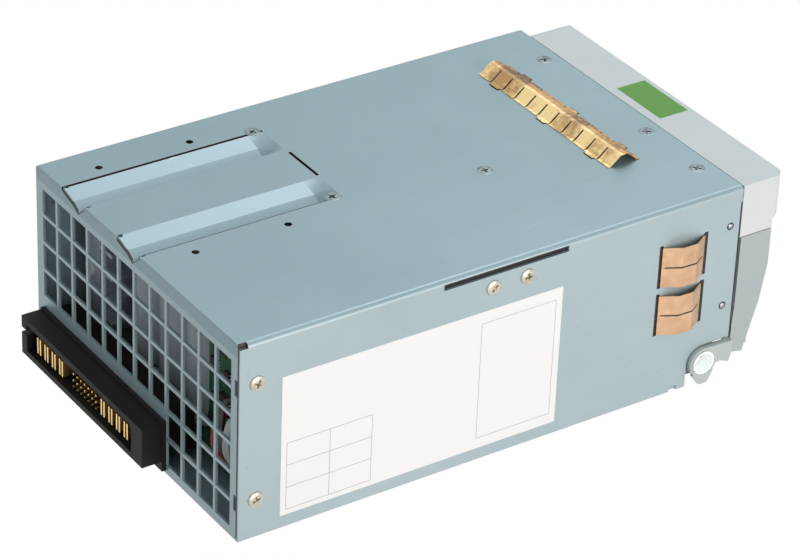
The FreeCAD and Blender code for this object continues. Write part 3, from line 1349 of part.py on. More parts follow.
CONTROL_X = (from_left("winding_near_inset + winding_width + control_gap"),
             from_right("can_far_inset + 2 * can_pitch_share * case_width + can_radius + control_gap"))
CONTROL_Y = (from_rear("control_rear_inset + board_sheet"), from_rear("control_rear_inset"))


def control_board():
    """The small upright control board, edge down on the main board."""
    return node("control_board", block("control_slab", CONTROL_X, CONTROL_Y, (BOARD_TOP, "case_height - can_top_gap")))


def control_chips():
    """Three columns of chips on the control board, of four sizes."""
    width = f"({CONTROL_X[1]} - {CONTROL_X[0]})"
    chips = []
    for column in range(3):
        for row in range(5):
            x = f"{CONTROL_X[0]} + {width} * {column + 0.25} / 3"
            z = f"{BOARD_TOP} + (case_height - can_top_gap - {BOARD_TOP}) * {row + 0.3} / 5"
            wide = f"{width} * {3 + (column + row) % 3} / 24"
            tall = 4 + (column + 2 * row) % 4
            chips.append(block(f"chip_{column}{row}", run_of(x, wide),
                               run_of(CONTROL_Y[1], 1 + column * row % 2), run_of(z, tall)))
    return node("control_chips", group("chip_set", *chips))


CORE_Z = (BOARD_TOP, f"{BOARD_TOP} + core_height")
POST_X = (from_left("winding_near_inset + winding_width * 0.3"), from_left("winding_near_inset + winding_width * 0.7"))
POST_Y = (from_rear("winding_rear_inset + winding_length * 0.7"), from_rear("winding_rear_inset + winding_length * 0.3"))


def winding_block():
    """The span of the transformer's winding across and along the case."""
    return (run_of(from_left("winding_near_inset"), "winding_width"),
            (from_rear("winding_rear_inset + winding_length"), from_rear("winding_rear_inset")))


def transformer_winding():
    """The taped winding, with a hole for the core's middle leg."""
    z = (f"{CORE_Z[0]} + core_bar + clear_gap", f"{CORE_Z[1]} - core_bar - clear_gap")
    slack = [(f"{pair[0]} - seat_gap", f"{pair[1]} + seat_gap") for pair in (POST_X, POST_Y)]
    hole = block("winding_hole", *slack, CORE_Z)
    return node("transformer_winding", cut("winding_cut", block("winding_mass", *winding_block(), z), hole))


def transformer_core():
    """The ferrite frame: two bars and the leg between them."""
    x, y = [(f"{pair[0]} + core_inset", f"{pair[1]} - core_inset") for pair in winding_block()]
    low = block("core_low", x, y, run_of(CORE_Z[0], "core_bar"))
    high = block("core_high", x, y, (f"{CORE_Z[1]} - core_bar", CORE_Z[1]))
    return node("transformer_core", fuse("core_whole", low, high, block("core_leg", POST_X, POST_Y, CORE_Z)))


def choke(name, axis, middle, spot):
    """A ring core of rectangular section, whose sizes bear its name."""
    ends = (f"{middle} - {name}_half", f"{middle} + {name}_half")
    return node(name, flat_ring(name + "_core", axis, *ends, f"{name}_radius + {name}_half",
                                f"{name}_radius - {name}_half", spot))


def chokes():
    """The upright output choke and the boost choke that lies on the board."""
    rise = f"{BOARD_TOP} + output_choke_radius + output_choke_half"
    choke("output_choke", "Y", from_rear("output_choke_rear_inset"), (from_left("output_choke_near_inset"), rise))
    choke("boost_choke", "Z", f"{BOARD_TOP} + boost_choke_half",
          (from_left("boost_choke_near_inset"), from_front("boost_choke_front_inset")))


def board_blocks():
    """The mains filter's two capacitors, the rectifier on its heat sink and the fuse holder."""
    y = run_of(from_front("filter_front_inset"), "filter_length")
    large = run_of(from_right("filter_far_inset + filter_width"), "filter_width")
    small = (f"{large[0]} - filter_width / 2", f"{large[0]} - filter_width / 5")
    node("filter_capacitors", group(
        "filter_set", block("filter_large", large, y, run_of(BOARD_TOP, "filter_tall")),
        block("filter_small", small, y, run_of(BOARD_TOP, "filter_tall * 0.8"))))
    node("rectifier", block("rectifier_body", run_of(PRIMARY_SINK_X[1], "rectifier_width"),
                            run_of(from_front("rectifier_front_inset"), "rectifier_length"),
                            run_of(BOARD_TOP, "rectifier_tall")))
    node("fuse_holder", block("fuse_body", run_of(from_left("fuse_near_inset"), "fuse_width"),
                              run_of(from_front("fuse_front_inset"), "fuse_length"), run_of(BOARD_TOP, "fuse_tall")))


def insulator_sheet():
    """The black insulating sheet inside the label side."""
    x = (INNER_LEFT, INNER_LEFT + " + 0.4")
    piece = block("insulator_piece", x, (f"{CLIP_REAR} + 4", "case_length / 2 - grille_flange - 1"),
                  ("12.5", UNDER_TOP + " - clear_gap"))
    holes = [rod(f"insulator_hole_{index}", "X", x[0] + " - 1", x[1] + " + 1", "screw_radius + clear_gap", spot)
             for index, spot in enumerate(EAR_SCREWS)]
    return node("insulator_sheet", cut("insulator_cut", piece, *holes))


# ---------------------------------------------------------------- build and write


def build():
    """Make every sub-part."""
    top_cover()
    base_tray()
    rear_grille()
    front_panel()
    cover_screws()
    side_screws()
    side_rivets()
    rating_label()
    blades = power_blades()
    pins = signal_pins()
    connector_housing((blades, pins))
    fan_frame()
    fan_rotor()
    fan_guard()
    fan_screws()
    ac_inlet(inlet_blades())
    status_lights()
    for side in SIDES:
        handle_arm(*side)
        ejector_cam(*side)
        pivot_bracket(*side)
        pivot_bush(*side)
    handle_grip()
    grip_screws()
    touch_marker()
    grounding_strip()
    side_clip("side_contact_upper", "clip_upper_bottom")
    side_clip("side_contact_lower", "clip_lower_bottom")
    main_board()
    board_standoffs()
    board_screws()
    cans("bulk_capacitors", "bulk_radius", f"{BOARD_TOP} + bulk_tall",
         can_row("bulk_pitch_share * case_width", "bulk_rear_inset"))
    cans("output_capacitors", "can_radius", "case_height - can_top_gap",
         can_row("can_pitch_share * case_width", "can_rear_inset"))
    output_heat_sink()
    heat_sink_screws()
    primary_heat_sink()
    control_board()
    control_chips()
    transformer_winding()
    transformer_core()
    chokes()
    board_blocks()
    insulator_sheet()


def check():
    """Stop if any object failed or any sub-part is not a sound solid."""
    failed = [item.Name for item in doc.Objects if {"Invalid", "Error"} & set(item.State)]
    broken = [item.Label for item in NODES if item.Shape.isNull() or not item.Shape.isValid()]
    if failed or broken:
        raise RuntimeError(f"failed objects {failed}, unsound sub-parts {broken}")


def write():
    """Write each sub-part to its own file."""
    os.makedirs("parts", exist_ok=True)
    for item in NODES:
        item.Shape.exportStep(f"parts/{item.Label}.step")
        print(f"{item.Label:24s} {len(item.Shape.Solids):3d} solids {item.Shape.Volume:12.1f} mm3")
    print(f"{len(NODES)} sub-parts")


build()
doc.recompute()
check()
write()
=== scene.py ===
# %% [markdown]
# # A hot swap server power supply
#
# This lesson dresses a finished metal-and-plastic assembly. The solids come from a frame that is
# already right in shape and place, so each step here either gives a solid a believable finish or
# swaps a small plain solid, such as a screw, for one with the detail that catches the light.
# Everything is in metres. +Y points to the output connector, +X away from the label, +Z up.

import math

import bmesh
import bpy
from mathutils import Matrix, Vector


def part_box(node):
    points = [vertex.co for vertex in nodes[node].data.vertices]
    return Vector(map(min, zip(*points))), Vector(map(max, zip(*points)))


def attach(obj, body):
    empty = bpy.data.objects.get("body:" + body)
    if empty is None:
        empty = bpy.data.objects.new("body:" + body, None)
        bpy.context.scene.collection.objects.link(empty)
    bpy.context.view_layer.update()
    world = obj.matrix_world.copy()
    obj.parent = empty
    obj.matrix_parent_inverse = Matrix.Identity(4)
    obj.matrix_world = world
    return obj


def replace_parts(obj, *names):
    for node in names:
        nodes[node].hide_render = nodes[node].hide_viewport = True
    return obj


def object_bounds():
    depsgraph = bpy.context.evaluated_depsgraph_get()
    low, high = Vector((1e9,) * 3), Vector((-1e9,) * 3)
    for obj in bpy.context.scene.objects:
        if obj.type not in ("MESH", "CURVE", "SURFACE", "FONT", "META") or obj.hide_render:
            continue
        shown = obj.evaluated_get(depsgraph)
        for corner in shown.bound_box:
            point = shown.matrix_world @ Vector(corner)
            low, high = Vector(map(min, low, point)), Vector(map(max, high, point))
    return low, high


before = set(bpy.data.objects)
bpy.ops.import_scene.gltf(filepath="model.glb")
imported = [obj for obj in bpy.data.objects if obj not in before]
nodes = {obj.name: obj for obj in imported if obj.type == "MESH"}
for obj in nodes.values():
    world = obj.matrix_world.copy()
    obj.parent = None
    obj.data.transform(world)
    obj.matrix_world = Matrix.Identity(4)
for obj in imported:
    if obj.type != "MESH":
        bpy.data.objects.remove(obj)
cad_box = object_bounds()
MM = 0.001

# %% [markdown]
# ## Sums on sockets
#
# A finish is a sum: some noise, times a number, plus a base value. Blender stores a sum as Math
# nodes. Wrapping a socket in a small class and overloading +, -, * and / lets the sum be written
# as it would be on paper, and the reflected forms make `1 - mask` work too.


# %% A socket that can be added and multiplied
class Value:
    """An output socket that takes part in ordinary sums."""

    def __init__(self, finish, socket):
        self.finish = finish
        self.socket = socket

    def __add__(self, other):
        return self.finish.sum("ADD", self, other)

    def __radd__(self, other):
        return self.finish.sum("ADD", other, self)

    def __sub__(self, other):
        return self.finish.sum("SUBTRACT", self, other)

    def __rsub__(self, other):
        return self.finish.sum("SUBTRACT", other, self)

    def __mul__(self, other):
        return self.finish.sum("MULTIPLY", self, other)

    def __rmul__(self, other):
        return self.finish.sum("MULTIPLY", other, self)

    def __truediv__(self, other):
        return self.finish.sum("DIVIDE", self, other)

    def __rtruediv__(self, other):
        return self.finish.sum("DIVIDE", other, self)

    def __gt__(self, other):
        return self.finish.sum("GREATER_THAN", self, other)

    def __lt__(self, other):
        return self.finish.sum("LESS_THAN", self, other)

    def __abs__(self):
        return self.finish.sum("ABSOLUTE", self)

    def clipped(self):
        """The same value kept between 0 and 1."""
        return self.finish.node("ShaderNodeClamp", {}, {"Value": self})


# %% [markdown]
# ## One method for every other node
#
# Colours and vectors would turn grey in a Math node, so they go through Mix and Vector Math. All
# nodes are added by one method: the type, the settings that shape its sockets, then the values or
# links of its inputs.


# %% A finish and its node method
class Finish:
    """A material under construction, with a Principled shader at its end."""

    def __init__(self, name, **plain):
        self.material = bpy.data.materials.new(name)
        self.material.use_nodes = True
        self.tree = self.material.node_tree
        self.shader = next(n for n in self.tree.nodes if n.type == "BSDF_PRINCIPLED")
        self.place = self.node("ShaderNodeTexCoord", {}, {}, "Object")
        self.set(**plain)

    def connect(self, target, given):
        """Link a value to an input, or write a plain number or colour on it."""
        if isinstance(given, Value):
            self.tree.links.new(given.socket, target)
        elif isinstance(given, (tuple, list)) and len(given) == 3 and target.type == "RGBA":
            target.default_value = (*given, 1.0)
        else:
            target.default_value = given

    def node(self, kind, settings, inputs, output=0):
        """Add a node, set it up, feed its inputs and return one output as a value."""
        made = self.tree.nodes.new(kind)
        for name, setting in settings.items():
            setattr(made, name, setting)
        for name, given in inputs.items():
            self.connect(made.inputs[name], given)
        return Value(self, made.outputs[output])

    def sum(self, operation, *terms):
        """A Math node on one to three terms."""
        return self.node("ShaderNodeMath", {"operation": operation}, dict(enumerate(terms)))

    def mix(self, mask, low, high):
        """A colour that goes from low to high as the mask goes from 0 to 1."""
        return self.node("ShaderNodeMix", {"data_type": "RGBA"}, {0: mask, 6: low, 7: high}, 2)

    def stretch(self, x, y, z):
        """The object's own coordinates, scaled along each axis."""
        return self.node("ShaderNodeVectorMath", {"operation": "MULTIPLY"}, {0: self.place, 1: (x, y, z)})

    def noise(self, scale, detail=3.0, roughness=0.5, place=None):
        """Smooth noise around 0.5, with a scale in lumps to the metre."""
        inputs = {"Vector": place or self.place, "Scale": scale, "Detail": detail, "Roughness": roughness}
        return self.node("ShaderNodeTexNoise", {"normalize": True}, inputs, "Fac")

    def axis(self, index):
        """One coordinate, in metres."""
        return self.node("ShaderNodeSeparateXYZ", {}, {0: self.place}, index)

    def bump(self, height, depth):
        """A bumped normal from a height between 0 and 1, in metres of depth."""
        return self.node("ShaderNodeBump", {}, {"Strength": 1.0, "Distance": depth, "Height": height})

    def set(self, **sockets):
        """Feed the shader: base_color becomes Base Color, and so on."""
        for name, given in sockets.items():
            self.connect(self.shader.inputs[name.replace("_", " ").title().replace("Ior", "IOR")], given)


def between(value, low, high):
    """1 where the value lies between two limits, else 0."""
    return (value > low) * (value < high)


print("helpers ready")


# %% [markdown]
# ## Dressing a node
#
# A CAD node keeps its mesh and only changes its material. A small bevel modifier rounds the edges
# of moulded and cut pieces: real edges are never perfectly sharp, and the rounding is what catches
# a thin line of light.


# %% Helpers for dressing nodes
def dress(material, *names):
    """Put a material on every slot of some CAD nodes."""
    for name in names:
        mesh = nodes[name].data
        if not mesh.materials:
            mesh.materials.append(material)
        for index in range(len(mesh.materials)):
            mesh.materials[index] = material


def soften(width, *names):
    """Round the sharp edges of some CAD nodes by a width in metres."""
    for name in names:
        bevel = nodes[name].modifiers.new("soft_edges", "BEVEL")
        bevel.width = width
        bevel.segments = 2
        bevel.limit_method = "ANGLE"
        bevel.angle_limit = math.radians(40)
        bevel.harden_normals = True


# %% [markdown]
# ## Zinc-plated sheet
#
# Most of the object is thin steel sheet with a passivated zinc coat. It is neither bare nor
# painted: cool, blue-grey, nearly matt, with cloudy patches a few centimetres wide, a very fine
# grain, faint rolling lines along the sheet, small rubbed spots and a few short straight scuffs. A
# mirror-like metal would look wrong, so the sheet is only partly metallic and quite rough.
#
# Slits, slots, seams, screw holes and the front edge behind the handle's arm get painted shade. Their
# places are given as boxes in millimetres, and one mask darkens whatever sheet lies inside any box.
# Where the cover's rear bands slope down, a second mask paints the shade along the line of the cut
# edge. A third mask paints shade on the upper faces with a darker, bluer pair of colours.


# %% Sheet steel
# Painted shade: this mask marks the slits, slots, seams and holes that get near-black shade.
def crevices(finish, boxes):
    """1 inside any of some boxes given in millimetres, else 0."""
    places = [finish.axis(index) / MM for index in range(3)]
    mask = places[0] * 0.0
    for low, high in boxes:
        inside = 1.0
        for place, start, end in zip(places, low, high):
            inside = inside * between(place, start, end)
        mask = mask + inside
    return mask.clipped()


# Painted shade: this mask marks the rear cut edge of the sloping bands, where shade is painted.
def cut_edges(finish, slants, thick=0.85):
    """1 on the rear cut edge of sheet that falls from one (x, z) spot to another, in millimetres."""
    x, y, z = [finish.axis(index) / MM for index in range(3)]
    mask = 0.0
    for (x0, z0), (x1, z1) in slants:
        line = (x - x0) * ((z1 - z0) / (x1 - x0)) + (z0 - thick)
        mask = mask + between(x, x0, x1) * (abs(z - line) < thick)
    return (mask * (y > REAR_EDGE)).clipped()


def sheet_metal(name, light, dark, along, shaded_boxes=()):
    """Zinc-plated sheet whose rolling lines run along the given stretch of its coordinates."""
    finish = Finish(name, metallic=0.3)
    cloud = finish.noise(14.0, 4.0, 0.6)
    grain = finish.noise(2600.0, 2.0, 0.6)
    lines = finish.noise(260.0, 3.0, 0.7, finish.stretch(*along))
    streak = finish.noise(420.0, 1.0, 0.4, finish.stretch(1.0, 0.05, 1.0)) > 0.70
    scuff = streak * (finish.noise(38.0, 2.0) > 0.60)
    spot = finish.noise(330.0, 2.0, 0.5) > 0.735
    tone = (cloud * 0.9 + lines * 0.22 + grain * 0.18 - 0.14 + scuff * 0.3 - spot * 0.35).clipped()
    base_tone = finish.mix(tone, dark, light)
    # Painted shade: the upper faces take a darker, bluer pair of colours.
    upper = between(finish.axis(2) / MM, *TOP_SHADE_Z) * between(finish.axis(0) / MM, *TOP_SHADE_X)
    base_tone = finish.mix(upper, base_tone, finish.mix(tone, TOP_SHADE_DARK, TOP_SHADE_LIGHT))
    # Painted shade: near-black in the boxed gaps and along the rear cut edge.
    shade_mask = (crevices(finish, shaded_boxes) + cut_edges(finish, SLANTS)).clipped()
    finish.set(
        base_color=finish.mix(shade_mask, base_tone, PAINTED_SHADE),
        roughness=0.30 + cloud * 0.12 + grain * 0.08 - scuff * 0.1,
        normal=finish.bump(grain * 0.6 + lines * 0.4, 0.00001),
    )
    return finish.material


ZINC_LIGHT = (0.475, 0.59, 0.62)
ZINC_DARK = (0.37, 0.475, 0.505)
# Painted shade on the upper faces: a darker, bluer pair of colours.
TOP_SHADE_LIGHT = (0.325, 0.455, 0.50)
TOP_SHADE_DARK = (0.255, 0.365, 0.41)
ARM_LIGHT = (0.47, 0.535, 0.545)
ARM_DARK = (0.40, 0.46, 0.465)
# Painted shade: the near-black colour painted into gaps, holes and along the cut edge.
PAINTED_SHADE = (0.022, 0.02, 0.021)
TOP_SHADE_X = (-65.3, 65.3)
TOP_SHADE_Z = (68.8, 75.0)
REAR_EDGE = 98.2
SLANTS = [((39.9 - step, 72.3), (46.7 - step, 74.0)) for step in (0.0, 35.7)]
SLANTS += [((36.5 - step, 70.4), (39.9 - step, 72.3)) for step in (0.0, 35.7)]
# Boxes in millimetres where shade is painted on the sheet.
SHADED_GAPS = (
    ((46.5, 21.3, 72.5), (47.7, 99.0, 75.0)),  # slit beside the far groove
    ((-3.75, 21.5, 72.5), (-3.35, 99.0, 75.0)),  # near edge of the near groove
    ((12.0, 20.5, 72.5), (30.0, 21.7, 75.0)),  # cross slit between the grooves' ends
    ((-66.0, 95.5, 72.4), (-63.9, 99.0, 75.0)),  # nick at the corner
    ((-65.0, 98.1, 1.0), (-64.1, 99.0, 73.0)),  # seam of the grille and the side
    ((-66.0, -66.0, 44.0), (-65.0, -64.6, 60.6)),  # slots of the upper clip
    ((-66.0, -84.9, 44.0), (-65.0, -83.2, 60.6)),
    ((-66.0, -66.0, 25.2), (-65.0, -64.6, 41.8)),  # slots of the lower clip
    ((-66.0, -84.9, 25.2), (-65.0, -83.2, 41.8)),
    ((-66.0, -99.0, 1.0), (-64.0, -98.0, 68.0)),  # front edge behind the handle's arm
)
HOLE_RADIUS = 1.6
# Painted shade inside each of the cover's screw holes.
for hole_x in (-10.2, 52.8):
    for hole_y in (46.6, 81.6):
        corner = (hole_x - HOLE_RADIUS, hole_y - HOLE_RADIUS, 72.5)
        SHADED_GAPS += ((corner, (hole_x + HOLE_RADIUS, hole_y + HOLE_RADIUS, 73.93)),)
zinc = sheet_metal("zinc_sheet", ZINC_LIGHT, ZINC_DARK, (1.0, 0.06, 1.0), SHADED_GAPS)
zinc_arm = sheet_metal("zinc_pressing", ARM_LIGHT, ARM_DARK, (1.0, 1.0, 0.06))
dress(zinc, "top_cover", "base_tray", "rear_grille", "front_panel")
dress(zinc, "pivot_bracket_left", "pivot_bracket_right")
dress(zinc_arm, "handle_arm_left", "handle_arm_right")
print("made", zinc.name, zinc_arm.name)

# %% [markdown]
# ## Moulded plastic
#
# Four kinds of moulding show: the pale grip, the black connector and fan, the milky cams and the
# green insert. They differ in colour and gloss, but each has the same fine spark-eroded texture
# from its mould, a little unevenness of gloss, and a lighter tone where hands and dust reach it.
#
# The bushes of the handle's pivot are milky too, and their bore gets painted light. A
# mask by distance from the axle gives the bore a brighter white and a painted glow of its own.


# %% Moulded plastic
def moulding(name, colour, shade, roughness, pit, coat=0.0, shine=0.5):
    """Injection-moulded plastic: mould texture as bump, cloudy gloss and a second tone."""
    finish = Finish(name, coat_roughness=0.35, specular_ior_level=shine)
    cloud = finish.noise(45.0, 3.0, 0.6)
    texture = finish.noise(2300.0, 2.0, 0.5)
    finish.set(
        base_color=finish.mix((cloud * 1.3 - 0.15).clipped(), shade, colour),
        roughness=roughness + cloud * 0.1 + texture * 0.08,
        coat_weight=cloud * coat,
        normal=finish.bump(texture, pit),
    )
    return finish.material


def glowing_bore(name, rim, bore, axle, radius):
    """A milky bush whose bore is painted a brighter white with a painted glow, unlike its rim."""
    # Painted glow: the bore gives off light of its own, though it is no lamp.
    finish = Finish(name, emission_strength=0.36)
    y, z = finish.axis(1) - axle[0], finish.axis(2) - axle[1]
    glow_mask = (y * y + z * z) < radius * radius
    cloud = finish.noise(120.0, 3.0, 0.6)
    finish.set(
        base_color=finish.mix(glow_mask, rim, bore),
        emission_color=finish.mix(glow_mask, (0.0, 0.0, 0.0), bore),
        roughness=0.34 + cloud * 0.12,
        normal=finish.bump(cloud, 0.00001),
    )
    return finish.material


bezel = moulding("bezel_plastic", (0.76, 0.80, 0.805), (0.71, 0.76, 0.765), 0.42, 0.000012)
black = moulding("black_moulding", (0.013, 0.0115, 0.0105), (0.008, 0.0072, 0.0068), 0.5, 0.00002, 0.0, 0.2)
fan_black = moulding("fan_plastic", (0.015, 0.015, 0.017), (0.010, 0.010, 0.011), 0.42, 0.00001, 0.05, 0.3)
milky = moulding("cam_nylon", (0.55, 0.62, 0.61), (0.49, 0.56, 0.555), 0.34, 0.000006, 0.3)
AXLE = (-0.0866, 0.0087)
BORE_RADIUS = 0.0043
# Painted light: a brighter white bore with a painted glow.
bush_painted_glow = glowing_bore("acetal_bush_glow", (0.56, 0.62, 0.61), (0.90, 0.93, 0.93), AXLE, BORE_RADIUS)
leaf = moulding("green_insert", (0.15, 0.40, 0.075), (0.125, 0.36, 0.06), 0.45, 0.00001, 0.0, 0.3)
nylon = moulding("white_nylon", (0.86, 0.87, 0.85), (0.8, 0.81, 0.79), 0.36, 0.000005, 0.3)
dress(bezel, "handle_grip")
dress(black, "connector_housing", "ac_inlet", "fuse_holder")
dress(fan_black, "fan_frame", "fan_rotor")
dress(milky, "ejector_cam_left", "ejector_cam_right")
dress(bush_painted_glow, "pivot_bush_left", "pivot_bush_right")
dress(leaf, "touch_marker")
soften(0.00035, "handle_grip")
soften(0.0002, "connector_housing", "ac_inlet", "ejector_cam_left", "ejector_cam_right")
print("moulded:", bezel.name, black.name, milky.name, leaf.name)

# %% [markdown]
# ## Bare and plated contacts
#
# The contacts are the only warm colours: gold over nickel on the connector, bare bronze fingers on
# the top and copper-coloured springs on the side. Thin spring strip is shiny, but bending leaves it
# slightly wavy and handling leaves brown fingerprints, so colour and gloss both drift. On the top
# strip each finger takes its own tone, and the slope beyond the row's crest is darker.


# %% Contact metal
def contact_metal(name, light, stain, roughness, waviness, metallic=1.0):
    """Thin bright strip: wavy, streaked along its length and a little tarnished."""
    finish = Finish(name, metallic=metallic)
    tarnish = finish.noise(170.0, 4.0, 0.65)
    streaks = finish.noise(900.0, 2.0, 0.5, finish.stretch(1.0, 0.15, 1.0))
    finish.set(
        base_color=finish.mix((tarnish * 1.5 - 0.3).clipped(), stain, light),
        roughness=roughness + tarnish * 0.14 + streaks * 0.06,
        normal=finish.bump(finish.noise(240.0, 1.0) + streaks * 0.05, waviness),
    )
    return finish.material


gold = contact_metal("gold_plate", (0.95, 0.72, 0.34), (0.80, 0.56, 0.22), 0.22, 0.00003)


def spring_bronze(name, light, stain, shade, crest):
    """Bronze strip: each finger takes its own tone, and the slope beyond the crest is darker."""
    finish = Finish(name, metallic=0.92)
    finger = finish.noise(150.0, 0.0, 0.5, finish.stretch(1.0, 0.05, 0.05))
    stains = finish.noise(420.0, 3.0, 0.6)
    tone = ((finger - 0.5) * 3.2 + (stains - 0.5) * 2.4 + 0.62).clipped()
    # The slope beyond the crest takes a darker pair of colours.
    beyond_crest = finish.axis(1) < crest
    finish.set(
        base_color=finish.mix(beyond_crest, finish.mix(tone, stain, light), finish.mix(tone, shade, stain)),
        roughness=0.18 + stains * 0.16 + beyond_crest * 0.1,
        normal=finish.bump(finish.noise(300.0, 1.0) + finger * 0.4, 0.0003),
    )
    return finish.material


strip_low, strip_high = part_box("grounding_strip")
CREST = (strip_low.y + strip_high.y) / 2 + 0.0002
bronze = spring_bronze("bronze_strip", (0.88, 0.67, 0.33), (0.46, 0.285, 0.13), (0.17, 0.11, 0.07), CREST)
copper = contact_metal("copper_spring", (0.82, 0.55, 0.35), (0.57, 0.34, 0.20), 0.26, 0.0003, 0.85)
dress(gold, "power_blades", "signal_pins")
dress(bronze, "grounding_strip")
dress(copper, "side_contact_upper", "side_contact_lower")
soften(0.00012, "power_blades", "signal_pins")
print("contacts:", gold.name, bronze.name, copper.name)

# %% [markdown]
# ## The label
#
# The label is white polyester film with a satin coat. Its wording isn't part of this object: what
# stays is a plain printed form, a small table of empty boxes at one end and two empty frames.
# Each thin line is the product of two masks, one for its place and one for its ends.


# %% Label film
def printed_form(finish, low, high):
    """Thin rules of an empty form between two corners of the label, as one mask."""
    line = 0.00011
    near, base, far, top = high[1], low[2], low[1], high[2]
    ups = [(near - step, base + 0.002, base + 0.0275) for step in (0.0022, 0.0185, 0.0345)]
    ups += [(near - step, base + 0.004, top - 0.0045) for step in (0.076, 0.1055)]
    acrosses = [(base + rise, near - 0.0345, near - 0.0022) for rise in (0.002, 0.0105, 0.019, 0.0275)]
    acrosses += [(height, far + 0.0025, near - 0.076) for height in (base + 0.004, top - 0.0045)]
    y, z = finish.axis(1), finish.axis(2)
    mask = 0.0
    for place, start, end in ups:
        mask = mask + between(y, place - line, place + line) * between(z, start, end)
    for place, start, end in acrosses:
        mask = mask + between(z, place - line, place + line) * between(y, start, end)
    return mask.clipped()


film = Finish("label_film", coat_weight=0.15, coat_roughness=0.3)
ink = printed_form(film, *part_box("rating_label"))
smudge = film.noise(30.0, 4.0, 0.6)
white_film = film.mix(smudge, (0.93, 0.945, 0.95), (0.97, 0.975, 0.975))
film.set(
    base_color=film.mix(ink, white_film, (0.42, 0.43, 0.44)),
    roughness=0.36 + smudge * 0.12,
    normal=film.bump(film.noise(900.0, 2.0), 0.000006),
)
dress(film.material, "rating_label")

# %% [markdown]
# ## What shows through the grille
#
# Behind the square holes stand green boards, dark chips, grey capacitors and finned aluminium.
# They are seen small and in shadow, so each gets one strong trait: fine copper lines under green
# lacquer, the score of an extrusion, the wrap lines of tape.


# %% Boards and parts
def board_lacquer(name):
    """Green solder lacquer over copper lines, with bare solder spots."""
    finish = Finish(name, coat_weight=0.4, coat_roughness=0.25)
    across, up = finish.axis(0) + finish.axis(1), finish.axis(2)
    routes = finish.noise(260.0, 0.0, 0.5, finish.stretch(1.0, 0.25, 1.0))
    lines = between(finish.sum("FRACT", routes * 14.0), 0.0, 0.3)
    dots = finish.node("ShaderNodeTexVoronoi", {}, {"Vector": finish.place, "Scale": 330.0}, "Distance")
    solder = (dots < 0.22) * (finish.noise(120.0, 1.0) > 0.5)
    lacquer = finish.mix(lines, (0.018, 0.11, 0.05), (0.05, 0.21, 0.095))
    finish.set(
        base_color=finish.mix(solder, lacquer, (0.62, 0.63, 0.62)),
        metallic=solder * 0.8,
        roughness=0.42 - solder * 0.1 + (across + up) * 0.02,
        normal=finish.bump(lines * 0.5 + solder, 0.00008),
    )
    return finish.material


def extrusion(name, light, dark):
    """Extruded aluminium, scored along its length."""
    finish = Finish(name, metallic=0.7)
    score = finish.noise(700.0, 2.0, 0.6, finish.stretch(1.0, 0.03, 1.0))
    finish.set(base_color=finish.mix(score, dark, light), roughness=0.34 + score * 0.2,
               normal=finish.bump(score, 0.00004))
    return finish.material


def wound_tape(name, light, dark, pitch, gloss):
    """Tape in level turns: a line at each edge and a slightly uneven colour."""
    finish = Finish(name)
    turns = finish.sum("FRACT", finish.axis(2) / pitch)
    edge = turns < 0.08
    wrinkle = finish.noise(300.0, 3.0, 0.6, finish.stretch(1.0, 1.0, 0.2))
    finish.set(base_color=finish.mix((wrinkle - edge * 0.5).clipped(), dark, light),
               roughness=gloss + wrinkle * 0.15, normal=finish.bump(wrinkle - edge * 0.4, 0.0001))
    return finish.material


def grit(name, light, dark, roughness, scale, depth):
    """A fine-grained solid such as pressed ferrite or an epoxy body."""
    finish = Finish(name)
    grain = finish.noise(scale, 3.0, 0.6)
    finish.set(base_color=finish.mix(grain, dark, light), roughness=roughness + grain * 0.12,
               normal=finish.bump(grain, depth))
    return finish.material


lacquer = board_lacquer("board_lacquer")
blue_sink = extrusion("sink_aluminium", (0.68, 0.73, 0.80), (0.42, 0.47, 0.54))
red_tape = wound_tape("red_tape", (0.36, 0.03, 0.025), (0.22, 0.016, 0.014), 0.0055, 0.3)
ferrite = grit("ferrite", (0.05, 0.052, 0.058), (0.028, 0.03, 0.034), 0.5, 1500.0, 0.00004)
epoxy = grit("chip_epoxy", (0.03, 0.03, 0.032), (0.018, 0.018, 0.02), 0.48, 2500.0, 0.00002)
box_film = grit("capacitor_box", (0.42, 0.36, 0.10), (0.34, 0.29, 0.07), 0.36, 800.0, 0.00001)
sheet_film = grit("insulating_film", (0.014, 0.014, 0.016), (0.009, 0.009, 0.01), 0.38, 500.0, 0.00003)
dress(lacquer, "main_board", "control_board")
dress(blue_sink, "output_heat_sink", "primary_heat_sink")
dress(red_tape, "transformer_winding")
dress(ferrite, "transformer_core", "output_choke", "boost_choke")
dress(epoxy, "control_chips", "rectifier")
dress(box_film, "filter_capacitors")
dress(sheet_film, "insulator_sheet")
soften(0.0006, "transformer_winding", "output_choke", "boost_choke", "filter_capacitors")
print("inside:", lacquer.name, blue_sink.name, red_tape.name)

# %% [markdown]
# ## Small turned pieces
#
# Screws, rivets and capacitors are all turned shapes, so one helper spins a profile round Z and a
# second one lays a copy at each place. The places come from the CAD nodes: every separate solid of
# a node gives a box, and the box gives the piece's middle and its outer end.


# %% Spin a profile and copy it
def lathe(profile, steps=40):
    """A closed mesh spun round Z from pairs of radius and height, from the bottom up."""
    turned = bmesh.new()
    rings = []
    turns = [math.tau * step / steps for step in range(steps)]
    spokes = [(math.cos(turn), math.sin(turn)) for turn in turns]
    for radius, height in profile:
        rings.append([turned.verts.new((radius * x, radius * y, height)) for x, y in spokes])
    for low, high in zip(rings, rings[1:]):
        for step in range(steps):
            after = (step + 1) % steps
            turned.faces.new((low[step], low[after], high[after], high[step]))
    turned.faces.new(rings[0][::-1])
    turned.faces.new(rings[-1])
    return turned


